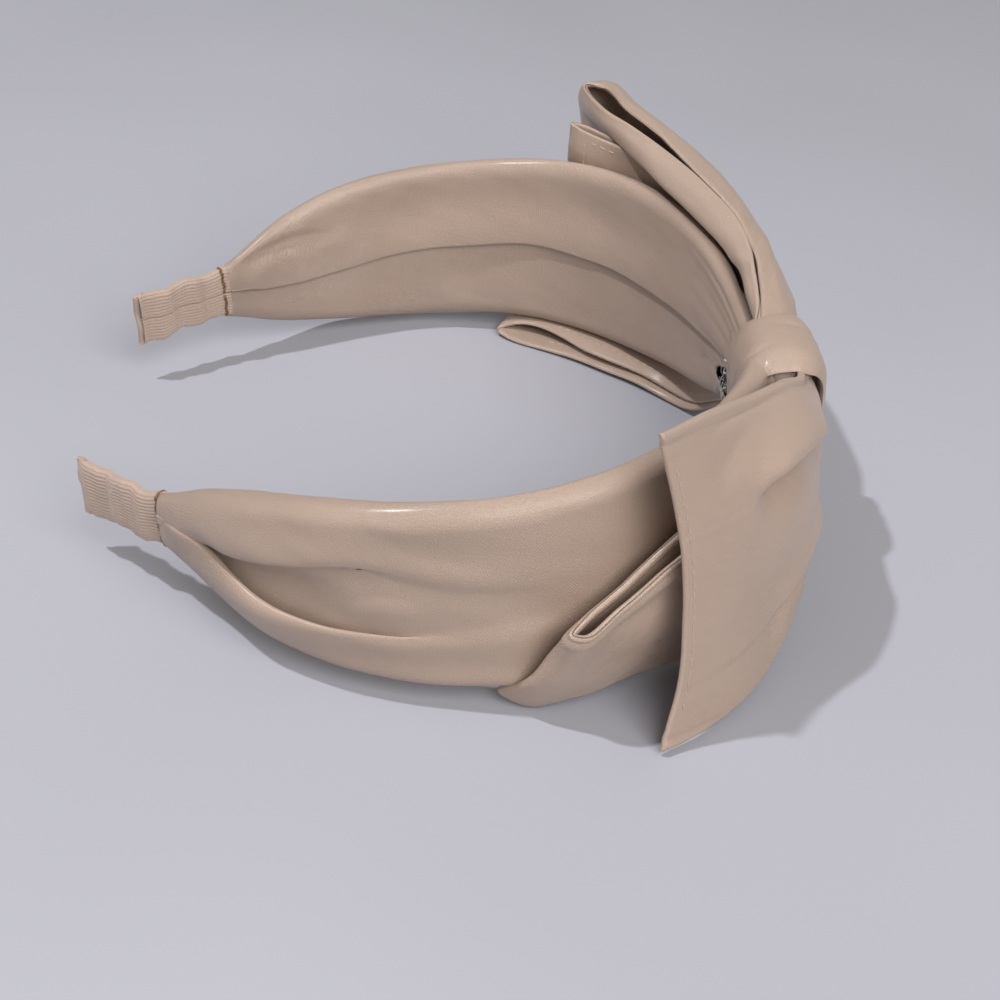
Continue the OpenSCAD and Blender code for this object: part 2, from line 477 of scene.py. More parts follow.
class Nodes:
    """Short-hand for building one node tree."""

    def __init__(self, tree: bpy.types.NodeTree) -> None:
        """Args: tree to build in."""
        self.tree = tree

    def add(self, kind: str, **settings: object) -> bpy.types.Node:
        """Args: kind of node and its settings. Returns: the node."""
        node = self.tree.nodes.new(kind)
        for key, value in settings.items():
            setattr(node, key, value)
        return node

    def link(self, source: object, target: object) -> None:
        """Args: source and target sockets to join, or a constant for the target."""
        if isinstance(source, bpy.types.NodeSocket):
            self.tree.links.new(source, target)
        else:
            target.default_value = source

    def math(self, operation: str, a: object, b: object = 0.0, clamp: bool = False) -> object:
        """Args: operation and its operands. Returns: the result socket."""
        node = self.add("ShaderNodeMath", operation=operation, use_clamp=clamp)
        self.link(a, node.inputs[0])
        self.link(b, node.inputs[1])
        return node.outputs[0]

    def noise(self, vector: object, scale: float, detail: float = 3.0, rough: float = 0.5) -> object:
        """Args: vector, scale, detail and roughness of a noise. Returns: its factor socket."""
        node = self.add("ShaderNodeTexNoise")
        self.link(vector, node.inputs["Vector"])
        node.inputs["Scale"].default_value = scale
        node.inputs["Detail"].default_value = detail
        node.inputs["Roughness"].default_value = rough
        return node.outputs["Fac"]

    def ramp(
        self, factor: object, low: float, high: float, to: tuple[float, float] = (0.0, 1.0)
    ) -> object:
        """Args: factor, its range and the range it maps to. Returns: the mapped socket."""
        node = self.add("ShaderNodeMapRange")
        self.link(factor, node.inputs["Value"])
        node.inputs["From Min"].default_value = low
        node.inputs["From Max"].default_value = high
        node.inputs["To Min"].default_value = to[0]
        node.inputs["To Max"].default_value = to[1]
        return node.outputs["Result"]

    def mix(self, factor: object, a: object, b: object) -> object:
        """Args: factor and two colours. Returns: the mixed colour socket."""
        node = self.add("ShaderNodeMix", data_type="RGBA")
        self.link(factor, node.inputs["Factor"])
        self.link(a, node.inputs["A"])
        self.link(b, node.inputs["B"])
        return next(o for o in node.outputs if o.type == "RGBA")


def weave_group() -> bpy.types.NodeTree:
    """A twill weave in cloth coordinates.

    Returns:
        group with inputs Cloth and Pitch (metres), and outputs Height, Shade and Sparkle; Shade mixes
        painted shade between the yarns with random grain tone, and Sparkle marks specks of painted glint.
    """
    name = "satin_weave"
    if name in bpy.data.node_groups:
        return bpy.data.node_groups[name]
    group = new_group(
        name,
        {"Cloth": "NodeSocketVector", "Pitch": "NodeSocketFloat"},
        {"Height": "NodeSocketFloat", "Shade": "NodeSocketFloat", "Sparkle": "NodeSocketFloat"},
    )
    n = Nodes(group)
    into, out = n.add("NodeGroupInput"), n.add("NodeGroupOutput")
    split = n.add("ShaderNodeSeparateXYZ")
    n.link(into.outputs["Cloth"], split.inputs[0])
    sway = n.math("MULTIPLY", n.noise(into.outputs["Cloth"], 140.0, 2.0), 0.0012)
    shake = n.math("MULTIPLY", n.noise(into.outputs["Cloth"], 900.0, 1.0), 0.0005)
    bend = n.math("ADD", sway, shake)
    along = n.math("ADD", split.outputs["X"], bend)
    slant = n.math("ADD", along, n.math("MULTIPLY", split.outputs["Y"], 0.62))
    rib = n.math("DIVIDE", slant, into.outputs["Pitch"])
    float_yarn = n.math("SINE", n.math("MULTIPLY", rib, math.tau))
    counter = n.math("SUBTRACT", split.outputs["Y"], n.math("MULTIPLY", along, 0.3))
    cross = n.math("DIVIDE", counter, into.outputs["Pitch"])
    bind = n.math("SINE", n.math("MULTIPLY", cross, math.tau * 1.7))
    grain = n.noise(into.outputs["Cloth"], 3400.0, 3.0, 0.7)
    # Specks of painted glint: the material lightens the base colour here and also lowers the roughness.
    glint_specks = n.ramp(grain, 0.62, 0.74)
    woven = n.math("ADD", n.math("MULTIPLY", float_yarn, 0.24), n.math("MULTIPLY", bind, 0.12))
    height = n.math("ADD", woven, n.math("MULTIPLY", grain, 2.4))
    n.link(height, out.inputs["Height"])
    n.link(n.ramp(height, 0.1, 2.0), out.inputs["Shade"])
    n.link(glint_specks, out.inputs["Sparkle"])
    return group


@dataclass(frozen=True)
class Cloth:
    """A woven finish.

    Args:
        name: name of the material.
        light: colour where the yarn catches the light, linear RGB.
        deep: painted shade between the yarns, also reached where the random grain tone is low.
        pitch: spacing of the weave, metres.
        rough: roughness of the yarn.
        gloss: coat weight.
        relief: bump distance, metres.
        sheen: weight of the soft sheen of fibres.
    """

    name: str
    light: tuple[float, float, float]
    deep: tuple[float, float, float]
    pitch: float = 0.00042
    rough: float = 0.44
    gloss: float = 0.06
    relief: float = 0.00012
    sheen: float = 0.08

    def material(self) -> bpy.types.Material:
        """Returns: the material, made once."""
        if self.name in bpy.data.materials:
            return bpy.data.materials[self.name]
        made = bpy.data.materials.new(self.name)
        made.use_nodes = True
        n = Nodes(made.node_tree)
        shader = made.node_tree.nodes["Principled BSDF"]
        uv = n.add("ShaderNodeUVMap", uv_map="cloth")
        weave = n.add("ShaderNodeGroup", node_tree=weave_group())
        n.link(uv.outputs["UV"], weave.inputs["Cloth"])
        weave.inputs["Pitch"].default_value = self.pitch
        patches = n.noise(uv.outputs["UV"], 38.0, 3.0)
        light = n.mix(n.ramp(patches, 0.3, 0.7), (*self.light, 1.0),
                      (*[c * 0.93 for c in self.light], 1.0))
        # Painted shade between the yarns: low twill and low grain mix the lit colour towards deep; the
        # grain part is random tone.
        woven = n.mix(n.ramp(weave.outputs["Shade"], 0.0, 1.0, (0.75, 0.0)), light, (*self.deep, 1.0))
        # Painted glint: sparkle specks are mixed towards a lighter copy of the yarn colour.
        painted_glint = (*[min(1.0, c * 1.75) for c in self.light], 1.0)
        n.link(n.mix(n.math("MULTIPLY", weave.outputs["Sparkle"], 0.6), woven, painted_glint),
               shader.inputs["Base Color"])
        glint = n.math("MULTIPLY", weave.outputs["Sparkle"], -0.16)
        dull = n.ramp(patches, 0.3, 0.7, (self.rough - 0.03, self.rough + 0.05))
        n.link(n.math("ADD", dull, glint), shader.inputs["Roughness"])
        bump = n.add("ShaderNodeBump")
        bump.inputs["Strength"].default_value = 0.7
        bump.inputs["Distance"].default_value = self.relief
        n.link(weave.outputs["Height"], bump.inputs["Height"])
        n.link(bump.outputs["Normal"], shader.inputs["Normal"])
        shader.inputs["Sheen Weight"].default_value = self.sheen
        shader.inputs["Sheen Roughness"].default_value = 0.4
        shader.inputs["Coat Weight"].default_value = self.gloss
        shader.inputs["Coat Roughness"].default_value = 0.22
        shader.inputs["Specular IOR Level"].default_value = 0.55
        return made


SATIN = Cloth("champagne_satin", (0.495, 0.378, 0.308), (0.262, 0.172, 0.118), pitch=0.0004, rough=0.35,
              gloss=0.24)
GROSGRAIN = Cloth("grosgrain", (0.490, 0.375, 0.310), (0.280, 0.195, 0.145), pitch=0.0003,
                  rough=0.6, gloss=0.0, relief=0.00005, sheen=0.35)
THREAD = Cloth("brown_thread", (0.300, 0.165, 0.090), (0.120, 0.060, 0.032), pitch=0.0002, rough=0.6,
               gloss=0.0)
STITCH = Cloth("stitch_thread", (0.680, 0.570, 0.490), (0.460, 0.350, 0.280), pitch=0.0002,
               rough=0.45, gloss=0.1)
WADDING = Cloth("wadding", (0.820, 0.810, 0.790), (0.560, 0.550, 0.530), pitch=0.0006, rough=0.9,
                gloss=0.0, relief=0.0002, sheen=0.6)


@dataclass(frozen=True)
class Strip:
    """Moulded plastic of the sprung strip.

    Args:
        name: name of the material.
        colour: linear RGB.
        scuffed: colour where it is scuffed.
    """

    name: str = "black_strip"
    colour: tuple[float, float, float] = (0.012, 0.012, 0.013)
    scuffed: tuple[float, float, float] = (0.05, 0.05, 0.052)

    def material(self) -> bpy.types.Material:
        """Returns: the material, made once."""
        if self.name in bpy.data.materials:
            return bpy.data.materials[self.name]
        made = bpy.data.materials.new(self.name)
        made.use_nodes = True
        n = Nodes(made.node_tree)
        shader = made.node_tree.nodes["Principled BSDF"]
        place = n.add("ShaderNodeTexCoord").outputs["Object"]
        scuffs = n.noise(place, 900.0, 5.0, 0.65)
        worn = n.ramp(scuffs, 0.35, 0.75)
        n.link(n.mix(worn, (*self.colour, 1.0), (*self.scuffed, 1.0)), shader.inputs["Base Color"])
        n.link(n.ramp(scuffs, 0.3, 0.7, (0.32, 0.55)), shader.inputs["Roughness"])
        bump = n.add("ShaderNodeBump")
        bump.inputs["Strength"].default_value = 0.4
        bump.inputs["Distance"].default_value = 0.00005
        n.link(scuffs, bump.inputs["Height"])
        n.link(bump.outputs["Normal"], shader.inputs["Normal"])
        return made


# --- Baking pieces in place ---


def flex(obj: bpy.types.Object, side: Side) -> bpy.types.Object:
    """Bakes a piece's placement into its mesh.

    Args:
        obj: the piece.
        side: which limb it runs along.
    Returns:
        the piece.
    """
    start = ARCH.to_row(np.array([ARCH.hinge_x, side.value * 5.0, ARCH.middle]))
    end = ARCH.to_row(np.array([ARCH.hinge_x - 1.0, side.value * 21.0, ARCH.middle]))
    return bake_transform(obj, "crown", side.limb, start.tolist(), end.tolist())


# --- The band ---


@dataclass(frozen=True)
class Fold:
    """A fold of cloth that laps over the cloth next to it.

    Args:
        line: stations of (angle, share of the half width), from the knot to the ribbon.
        lift: stations of (angle, height in mm) of the folded edge.
        falls: True if the free edge faces down, False if it faces up.
        reach: how far the lifted panel runs before it lies flat again, mm.
        crisp: height from which its edge rolls over, mm.
    """

    line: tuple[tuple[float, float], ...]
    lift: tuple[tuple[float, float], ...]
    falls: bool = True
    reach: float = 9.0
    crisp: float = 1.5

    def share(self, angle: np.ndarray) -> np.ndarray:
        """Args: angles. Returns: where the fold is, as a share of the half width."""
        table = np.array(self.line)
        return hermite(table[:, 0], table[:, 1], np.clip(angle, table[0, 0], table[-1, 0]))

    def height(self, angle: np.ndarray) -> np.ndarray:
        """Args: angles. Returns: height of the folded edge, mm."""
        table = np.array(self.lift)
        return np.interp(angle, table[:, 0], table[:, 1])

    def formed(self, angle: np.ndarray) -> np.ndarray:
        """Args: angles. Returns: how far the edge has rolled over, 0 to 1, as a column."""
        return ease(self.height(angle)[:, None] / self.crisp)

    def blunt(self, angle: np.ndarray) -> np.ndarray:
        """Args: angles. Returns: half width of the soft step where the edge has not rolled over, mm."""
        formed = self.formed(angle)
        return (0.35 + 0.8 * (1 - formed)) * (1 - formed**2)


# Path of a folded edge for a fold 1 mm high: distance across and height, from the lifted cloth,
# round the roll and back under it to the cloth below.
LAP = (
    (0.0, 1.0), (-0.30, 0.97), (-0.50, 0.86), (-0.58, 0.70), (-0.52, 0.54), (-0.30, 0.44),
    (0.35, 0.38), (1.0, 0.34), (1.0, 0.05), (0.35, 0.02), (0.0, 0.0),
)


@dataclass(frozen=True)
class Valley:
    """A soft valley or ridge across a panel.

    Args:
        line: stations of (angle, share of the half width).
        depth: depth at its middle, mm; negative for a ridge.
        above: width on its upper side, mm.
        below: width on its lower side, mm.
    """

    line: tuple[tuple[float, float], ...]
    depth: float
    above: float
    below: float

    def height(self, angle: np.ndarray, across: np.ndarray, half: np.ndarray) -> np.ndarray:
        """Height of the valley.

        Args:
            angle: angle at each point.
            across: distance above the middle of the band at each point, mm.
            half: half width at each point, mm.
        Returns:
            heights, mm.
        """
        table = np.array(self.line)
        first, last = table[0, 0], table[-1, 0]
        centre = hermite(table[:, 0], table[:, 1], np.clip(angle, first, last).ravel()).reshape(angle.shape)
        s = across - centre * half
        width = np.where(s > 0, self.above, self.below)
        run = 0.3 * (last - first)
        fade = ease((angle - first) / run) * ease((last - angle) / run)
        return -self.depth * fade * np.exp(-((s / width) ** 2))


@dataclass
class Cover:
    """The satin sleeve of one limb.

    Args:
        side: which limb.
        start: angle where it starts under the wrap.
        end: angle where it ends under the ribbon.
        out_thick: its height above the arch line on the outside, mm.
        in_thick: its height on the head side, mm.
        wall: thickness of the satin, mm.
        mouth: how far the slit at the knot is drawn back, degrees.
        widths: stations of (angle, half width in mm).
        seam: the overlap on the head side.
        upper: the upper fold on the outside.
        lower: the lower fold on the outside.
        inner_rows: rows in the two panels of the head side.
        outer_rows: rows in the three panels of the outside.
    """

    side: Side
    start: float = -4.0
    end: float = 124.6
    out_thick: float = 3.5
    in_thick: float = 2.3
    wall: float = 0.35
    mouth: float = 15.0
    widths: tuple[tuple[float, float], ...] = (
        (0.0, 11.6), (8.0, 12.6), (18.0, 16.2), (36.0, 19.9), (66.0, 18.9),
        (95.0, 15.7), (112.0, 10.6), (120.0, 7.2), (125.0, 5.5),
    )
    seam: Fold = Fold(
        line=((2.0, -0.02), (8.0, -0.02), (16.0, -0.06), (24.0, -0.07), (35.0, -0.05), (40.0, -0.02),
              (48.0, 0.01), (60.0, 0.05), (67.0, 0.01), (83.0, -0.03), (96.0, -0.11), (106.0, -0.14),
              (116.0, -0.09), (125.0, 0.05)),
        lift=((2.0, 0.6), (12.0, 0.9), (30.0, 1.0), (80.0, 0.9), (110.0, 0.8), (125.0, 0.4)),
        reach=8.0,
        crisp=0.7,
    )
    upper: Fold = Fold(
        line=((2.0, 0.30), (60.0, 0.15), (75.0, 0.21), (79.0, 0.32), (84.0, 0.39), (91.0, 0.37),
              (98.0, 0.30), (106.0, 0.22), (114.0, 0.17), (125.0, 0.30)),
        lift=((2.0, 0.0), (72.0, 0.0), (82.0, 0.7), (92.0, 1.6), (106.0, 2.1), (117.0, 1.4), (125.0, 0.4)),
        reach=6.5,
    )
    lower: Fold = Fold(
        line=((2.0, -0.30), (50.0, -0.22), (68.0, -0.25), (77.0, -0.36), (90.0, -0.41), (97.0, -0.41),
              (102.0, -0.36), (107.0, -0.25), (113.0, 0.0), (120.0, 0.24), (125.0, 0.26)),
        lift=((2.0, 0.0), (62.0, 0.0), (76.0, 0.7), (88.0, 1.9), (100.0, 2.6), (112.0, 2.3), (120.0, 1.3),
              (125.0, 0.4)),
        falls=False,
        reach=6.0,
    )
    inner_rows: tuple[int, ...] = (46, 46)
    outer_rows: tuple[int, ...] = (34, 30, 28)

    def half(self, angle: np.ndarray) -> np.ndarray:
        """Args: angles. Returns: half width of the band, mm."""
        table = np.array(self.widths)
        return hermite(table[:, 0], table[:, 1], np.clip(angle, 0.0, 125.0))

    def _face(
        self, angle: np.ndarray, folds: Sequence[Fold], rows: Sequence[int]
    ) -> tuple[np.ndarray, np.ndarray]:
        """Rows of one face, from the top edge to the bottom.

        Args:
            angle: angles along the limb.
            folds: folds from top to bottom.
            rows: rows in each panel between them.
        Returns:
            distance above the middle and lift, each (along, across), mm.
        """
        half = self.half(angle)[:, None]
        edges = [np.ones_like(angle)] + [f.share(angle) for f in folds] + [-np.ones_like(angle)]
        z_parts: list[np.ndarray] = []
        h_parts: list[np.ndarray] = []
        margins = [0.0, *[f.blunt(angle) + 0.1 * (1 - f.formed(angle)) for f in folds], 0.0]
        for k, count in enumerate(rows):
            tau = (1 - np.cos(np.linspace(0, np.pi, count + 1)))[None] / 2
            top = edges[k][:, None] * half - margins[k]
            foot = edges[k + 1][:, None] * half + margins[k + 1]
            z = top * (1 - tau) + foot * tau
            lift = np.zeros_like(z)
            if k > 0 and not folds[k - 1].falls:
                lift = lift + self._swell(angle, folds[k - 1], z - edges[k][:, None] * half)
            if k < len(folds) and folds[k].falls:
                lift = lift + self._swell(angle, folds[k], z - edges[k + 1][:, None] * half)
            first, last = int(k > 0), -1 if k < len(folds) else None
            z, lift = z[:, first:last], lift[:, first:last]
            z_parts.append(z)
            h_parts.append(lift)
            if k < len(folds):
                lap_z, lap_h = self._lap(angle, folds[k], edges[k + 1], half)
                z_parts.append(lap_z)
                h_parts.append(lap_h)
        return np.concatenate(z_parts, axis=1), np.concatenate(h_parts, axis=1)

    @staticmethod
    def _swell(angle: np.ndarray, fold: Fold, gap: np.ndarray) -> np.ndarray:
        """Lift of the panel that ends in a folded edge.

        Args:
            angle: angles along the limb.
            fold: the fold.
            gap: distance of each point from its edge, mm.
        Returns:
            heights, mm.
        """
        raised = fold.height(angle)[:, None] * fold.formed(angle)
        return raised * np.exp(-((gap / fold.reach) ** 2))

    @staticmethod
    def _lap(
        angle: np.ndarray, fold: Fold, edge: np.ndarray, half: np.ndarray
    ) -> tuple[np.ndarray, np.ndarray]:
        """Rows that roll round a folded edge.

        Args:
            angle: angles along the limb.
            fold: the fold.
            edge: its share of the half width.
            half: half width, as a column.
        Returns:
            distance above the middle and lift, mm.
        """
        path = np.array(LAP if fold.falls else [(-a, b) for a, b in reversed(LAP)])
        height = fold.height(angle)[:, None]
        formed = fold.formed(angle)
        plain = np.linspace(1.0, -1.0, len(path))[None] * fold.blunt(angle)
        z = edge[:, None] * half + path[None, :, 0] * height * formed**2 + plain
        return z, path[None, :, 1] * height * formed

    def grid(self) -> Grid:
        """Returns: the outside of the sleeve as a closed grid."""
        dense = 300
        angle = self.start + (self.end - self.start) * np.linspace(0, 1, dense) ** 0.92
        scale = 1.0
        inner_rows = [int(rows * scale) for rows in self.inner_rows]
        outer_rows = [int(rows * scale) for rows in self.outer_rows]
        inner_z, inner_h = self._face(angle, [self.seam], inner_rows)
        outer_z, outer_h = self._face(angle, [self.upper, self.lower], outer_rows)
        inner = self._raise(angle, inner_z, inner_h, -1)
        outer = self._raise(angle, outer_z, outer_h, 1)
        points = np.concatenate([inner[:, :-1], outer[:, :0:-1]], axis=1)
        points = np.roll(points, 1 - inner.shape[1], axis=1)
        return Grid(points if self.side is Side.LEFT else points[:, ::-1], closed=True)

    def _raise(self, angle: np.ndarray, z: np.ndarray, lift: np.ndarray, face: int) -> np.ndarray:
        """Turns one face's rows into points.

        Args:
            angle: angles along the limb.
            z: distance above the middle, mm.
            lift: height above the face, mm.
            face: 1 for the outside, -1 for the head side.
        Returns:
            points in the arch frame.
        """
        half = self.half(angle)[:, None]
        wide = np.broadcast_to(angle[:, None], z.shape)
        if face < 0:
            mouth = self.mouth * np.exp(-(((z + 6.5) / 6.5) ** 2))
            wide = wide + mouth * ease(1 - (wide - self.start) / 24.0)
        roll = np.minimum(3.4, 0.7 * half)
        near_edge = np.clip((np.abs(z) - (half - roll)) / roll, 0, 1)
        body = np.sqrt(np.clip(1 - near_edge**2.2, 0, 1))
        taper = 1 - 0.55 * ease((wide - 95) / 30)
        thick = (self.out_thick if face > 0 else self.in_thick) * taper
        knot = ease((26 - wide) / 22)
        thick = thick * (1 - 0.18 * knot)
        crown = 0.86 + 0.14 * (1 - (z / half) ** 2)
        seed = 11 if face > 0 else 5
        seed += 40 if self.side is Side.LEFT else 0
        arc = wide * COVER_ARC
        wave = 0.22 * ripples(arc, z, 46.0, seed) + 0.07 * ripples(arc, z, 13.0, seed + 1)
        wave = wave + self._gathers(wide, z / half, seed) + self._panels(wide, z, half, face)
        out = face * (thick * body * crown + (lift + wave) * np.minimum(1, body * 1.6))
        edge_wave = 0.35 * np.sin(arc * 0.11 + seed) * (1 - body)
        x, y = ARCH.point(wide, out + 0.5)
        return np.stack([x, self.side.value * y, ARCH.middle + z + edge_wave], axis=-1)

    @staticmethod
    def _gathers(angle: np.ndarray, share: np.ndarray, seed: int) -> np.ndarray:
        """Fine pleats that run out of the knot.

        Args:
            angle: angle at each point.
            share: share of the half width at each point.
            seed: picks the pleats.
        Returns:
            heights, mm.
        """
        rng = np.random.default_rng(SEED * 3 + seed)
        total = np.zeros_like(angle)
        for centre in np.linspace(-0.85, 0.9, 9):
            at = centre + rng.uniform(-0.08, 0.08)
            wide = rng.uniform(0.025, 0.06)
            long = rng.uniform(14, 34)
            depth = rng.uniform(0.35, 0.8)
            drift = rng.uniform(-0.12, 0.12)
            fade = ease((long - angle) / long)
            s = share - at - drift * angle / 30
            total -= depth * fade * np.exp(-np.abs(s / (wide * (1 + angle / 25))) ** 1.4)
        return total

    @staticmethod
    def _panels(angle: np.ndarray, z: np.ndarray, half: np.ndarray, face: int) -> np.ndarray:
        """Broad shapes of the panels.

        Args:
            angle: angle at each point.
            z: distance above the middle, mm.
            half: half width, mm.
            face: 1 for the outside, -1 for the head side.
        Returns:
            heights, mm.
        """
        if face < 0:
            shapes = (
                Valley(((94.0, 0.42), (108.0, 0.66), (123.0, 0.72)), 0.8, 1.2, 3.2),
                Valley(((88.0, 0.25), (104.0, 0.45), (123.0, 0.40)), -0.5, 3.0, 3.0),
                Valley(((25.0, 0.35), (55.0, 0.55), (95.0, 0.40)), 0.5, 5.0, 6.0),
            )
        else:
            shapes = (
                Valley(((84.0, 0.10), (104.0, -0.06), (120.0, 0.12)), 1.9, 3.4, 4.0),
                Valley(((56.0, 0.05), (72.0, 0.14), (82.0, 0.28), (94.0, 0.28)), 0.8, 2.2, 4.5),
                Valley(((52.0, -0.12), (64.0, -0.18), (75.0, -0.30), (90.0, -0.34)), 0.8, 4.0, 2.2),
                Valley(((60.0, 0.55), (80.0, 0.62), (108.0, 0.60)), 0.5, 3.0, 3.5),
                Valley(((45.0, -0.62), (70.0, -0.66), (96.0, -0.62)), 0.6, 4.0, 3.0),
                Valley(((70.0, 0.62), (98.0, 0.60), (122.0, 0.50)), -0.45, 3.5, 4.0),
            )
        total = np.zeros_like(z)
        for shape in shapes:
            total += shape.height(angle, z, np.broadcast_to(half, z.shape))
        return total

    def build(self) -> bpy.types.Object:
        """Returns: the sleeve."""
        grid = self.grid()
        solid = Solid()
        solid.skin(grid, np.full(grid.points.shape[:2], self.wall / 2), both=False)
        obj = solid.build(f"satin_cover_{self.side.word}", SATIN.material())
        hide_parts(f"cover_{self.side.word}", "cover_crown")
        flex(obj, self.side)
        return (obj, f"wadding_{self.side.word}")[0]


@dataclass
class Lining:
    """The sprung strip and the wadding inside one limb.

    Args:
        side: which limb.
        cover: the sleeve they fill.
        least: smallest half width of the strip, mm.
        strip_span: angles the strip runs between.
        strip_depth: offsets of the strip's two faces from the arch line, mm.
        pad_span: angles the wadding runs between.
        pad_depth: offsets of the wadding's two faces from the arch line, mm.
        tufts: how many loose fibres there are.
    """

    side: Side
    cover: Cover
    least: float = 4.1
    strip_span: tuple[float, float] = (0.2, 145.0)
    strip_depth: tuple[float, float] = (-0.1, 0.9)
    pad_span: tuple[float, float] = (8.0, 96.0)
    pad_depth: tuple[float, float] = (1.0, 2.0)
    tufts: int = 26

    def _slab(self, span: tuple[float, float], depth: tuple[float, float], inset: float) -> Grid:
        """A flat slab along the arch.

        Args:
            span: angles it runs between.
            depth: offsets of its two faces from the arch line.
            inset: how much narrower it is than the sleeve.
        Returns:
            its middle surface.
        """
        count = 110
        angle = np.linspace(*span, count)[:, None]
        share = np.linspace(-1, 1, 24)[None]
        half = np.maximum(self.cover.half(angle[:, 0])[:, None] - inset, self.least)
        z = ARCH.middle + share * half
        middle = np.full(z.shape, sum(depth) / 2)
        return Grid(ARCH.place(np.broadcast_to(angle, z.shape), middle, z, self.side))

    def build(self) -> None:
        """Makes the strip and the wadding."""
        strip, half = self._slab(self.strip_span, self.strip_depth, 1.5).rounded(0.5)
        thin = 1 - 0.45 * ease((np.linspace(0, 145, len(half)) - 112) / 8)
        solid = Solid()
        solid.skin(strip, half * thin[:, None])
        obj = solid.build(f"sprung_strip_{self.side.word}", Strip().material())
        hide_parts(f"core_{self.side.word}", "core_crown")
        flex(obj, self.side)
        pad, half = self._slab(self.pad_span, self.pad_depth, 3.0).rounded(0.45)
        u, v = pad.spans()
        pad = pad.lifted(0.12 * ripples(u, v, 7.0, 21))
        solid = Solid()
        solid.skin(pad, half)
        self._tufts(solid)
        obj = solid.build(f"wadding_{self.side.word}", WADDING.material())
        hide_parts(f"pad_{self.side.word}")
        flex(obj, self.side)

    def _tufts(self, solid: Solid) -> None:
        """Adds loose fibres of wadding at the knot.

        Args:
            solid: the wadding they belong to.
        """
        rng = np.random.default_rng(SEED + self.side.value)
        for _ in range(self.tufts):
            z = rng.uniform(15.0, 28.0)
            a = rng.uniform(5.5, 10.5)
            length = rng.uniform(1.2, 3.0)
            t = np.linspace(0, 1, 9)
            angle = a + 0.5 * t * rng.uniform(-1, 1)
            out = -0.9 - 1.0 * np.sin(t * np.pi) * rng.uniform(0.1, 0.7)
            height = z + (t - 0.5) * length + 0.3 * np.sin(t * 7 + a)
            solid.tube(ARCH.place(angle, out, height, self.side), 0.07, 5)


@dataclass
class RibbonEnd:
    """The ribbed ribbon round one tip and the thread that binds it to the satin.

    Args:
        side: which limb.
        start: angle where the ribbon starts.
        half: half its width, mm.
        ribs: ribs across it.
        end: angle where the ribbon ends.
        bindings: (angle, how far it stands out in mm) of each turn of the binding thread.
    """

    side: Side
    start: float = 123.4
    half: float = 5.15
    ribs: int = 15
    end: float = 146.2
    bindings: tuple[tuple[float, float], ...] = ((124.85, 0.3), (125.2, 0.22))

    def _section(self, angle: np.ndarray, thick: float, grow: float) -> np.ndarray:
        """Closed sections of the ribbon.

        Args:
            angle: angles along the limb.
            thick: half thickness, mm.
            grow: how far the section is grown, mm.
        Returns:
            points, (along, around, xyz).
        """
        around = 480
        turn = np.linspace(0, math.tau, around, endpoint=False)[None]
        wide = np.broadcast_to(angle[:, None], (len(angle), around))
        tip = ease((wide - 141.5) / 4.5)
        share = np.sign(np.cos(turn)) * np.abs(np.cos(turn)) ** 0.85 * np.ones_like(wide)
        depth = np.sign(np.sin(turn)) * np.abs(np.sin(turn)) ** 0.45 * np.ones_like(wide)
        arc = wide * RIBBON_ARC
        wander = 0.10 * np.sin(arc * 0.55 + 1.0) + 0.06 * np.sin(arc * 1.3)
        rib = np.abs(np.sin((share + 0.05 * wander) * math.pi * self.ribs / 2)) ** 0.55
        pucker = 0.30 * np.sin(arc * 0.62 + share * 0.7 + 0.6) + 0.12 * np.sin(arc * 1.3 - share * 0.9)
        seam = np.where(depth < 0, 0.75 * np.exp(-((share / 0.05) ** 2)), 0.0)
        out = depth * (thick * (1 - 0.25 * tip) + grow + 0.42 * (rib - 0.5) - seam)
        bend = pucker * ease((wide - 124.5) / 6) + 0.35 * np.sin((wide - 126) * 0.33)
        flare = 0.25 * np.sin(arc * 0.5) + 0.35 * tip
        z = ARCH.middle + share * (self.half + grow + flare) + 0.25 * np.sin(arc * 0.42)
        return ARCH.place(wide, out + 0.3 + bend * 0.8, z, self.side)

    def build(self) -> None:
        """Makes the ribbon and its binding thread."""
        angle = np.linspace(self.start, self.end, 130)
        points = self._section(angle, 0.95, 0.0)
        grid = Grid(points if self.side is Side.LEFT else points[:, ::-1], closed=True)
        solid = Solid()
        solid.skin(grid, np.full(grid.points.shape[:2], 0.13), both=False)
        self._hem(solid)
        ribbon = solid.build(f"ribbon_{self.side.word}_end", GROSGRAIN.material())
        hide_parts(f"ribbon_{self.side.word}")
        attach(ribbon, self.side.limb)
        f"sprung_strip_{self.side.word}"
        thread = Solid()
        for at, grow in self.bindings:
            ring = self._section(np.array([at, at + 0.1]), 1.1, grow)[0][::4]
            wander = 0.12 * np.sin(np.arange(len(ring)) * 0.55 + at)
            ring[:, 0] += wander
            thread.tube(ring, 0.17, 8, ring=True)
        obj = thread.build(f"binding_thread_{self.side.word}", THREAD.material())
        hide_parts(f"binding_{self.side.word}")
        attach(obj, self.side.limb)

    def _hem(self, solid: Solid) -> None:
        """Closes the end of the ribbon with a frayed hem.

        Args:
            solid: the ribbon.
        """
        share = np.linspace(-1, 1, 40)[None]
        angle = np.linspace(145.4, 146.6, 8)[:, None]
        jag = 0.12 * np.sin(share * 61.0)
        z = ARCH.middle + share * (self.half + 0.45)
        points = ARCH.place(angle + jag, 0.55 + 0.25 * np.sin(share * 5.0), z, self.side)
        grid, half = Grid(points).rounded(0.45)
        solid.skin(grid, half)


# --- The bow ---


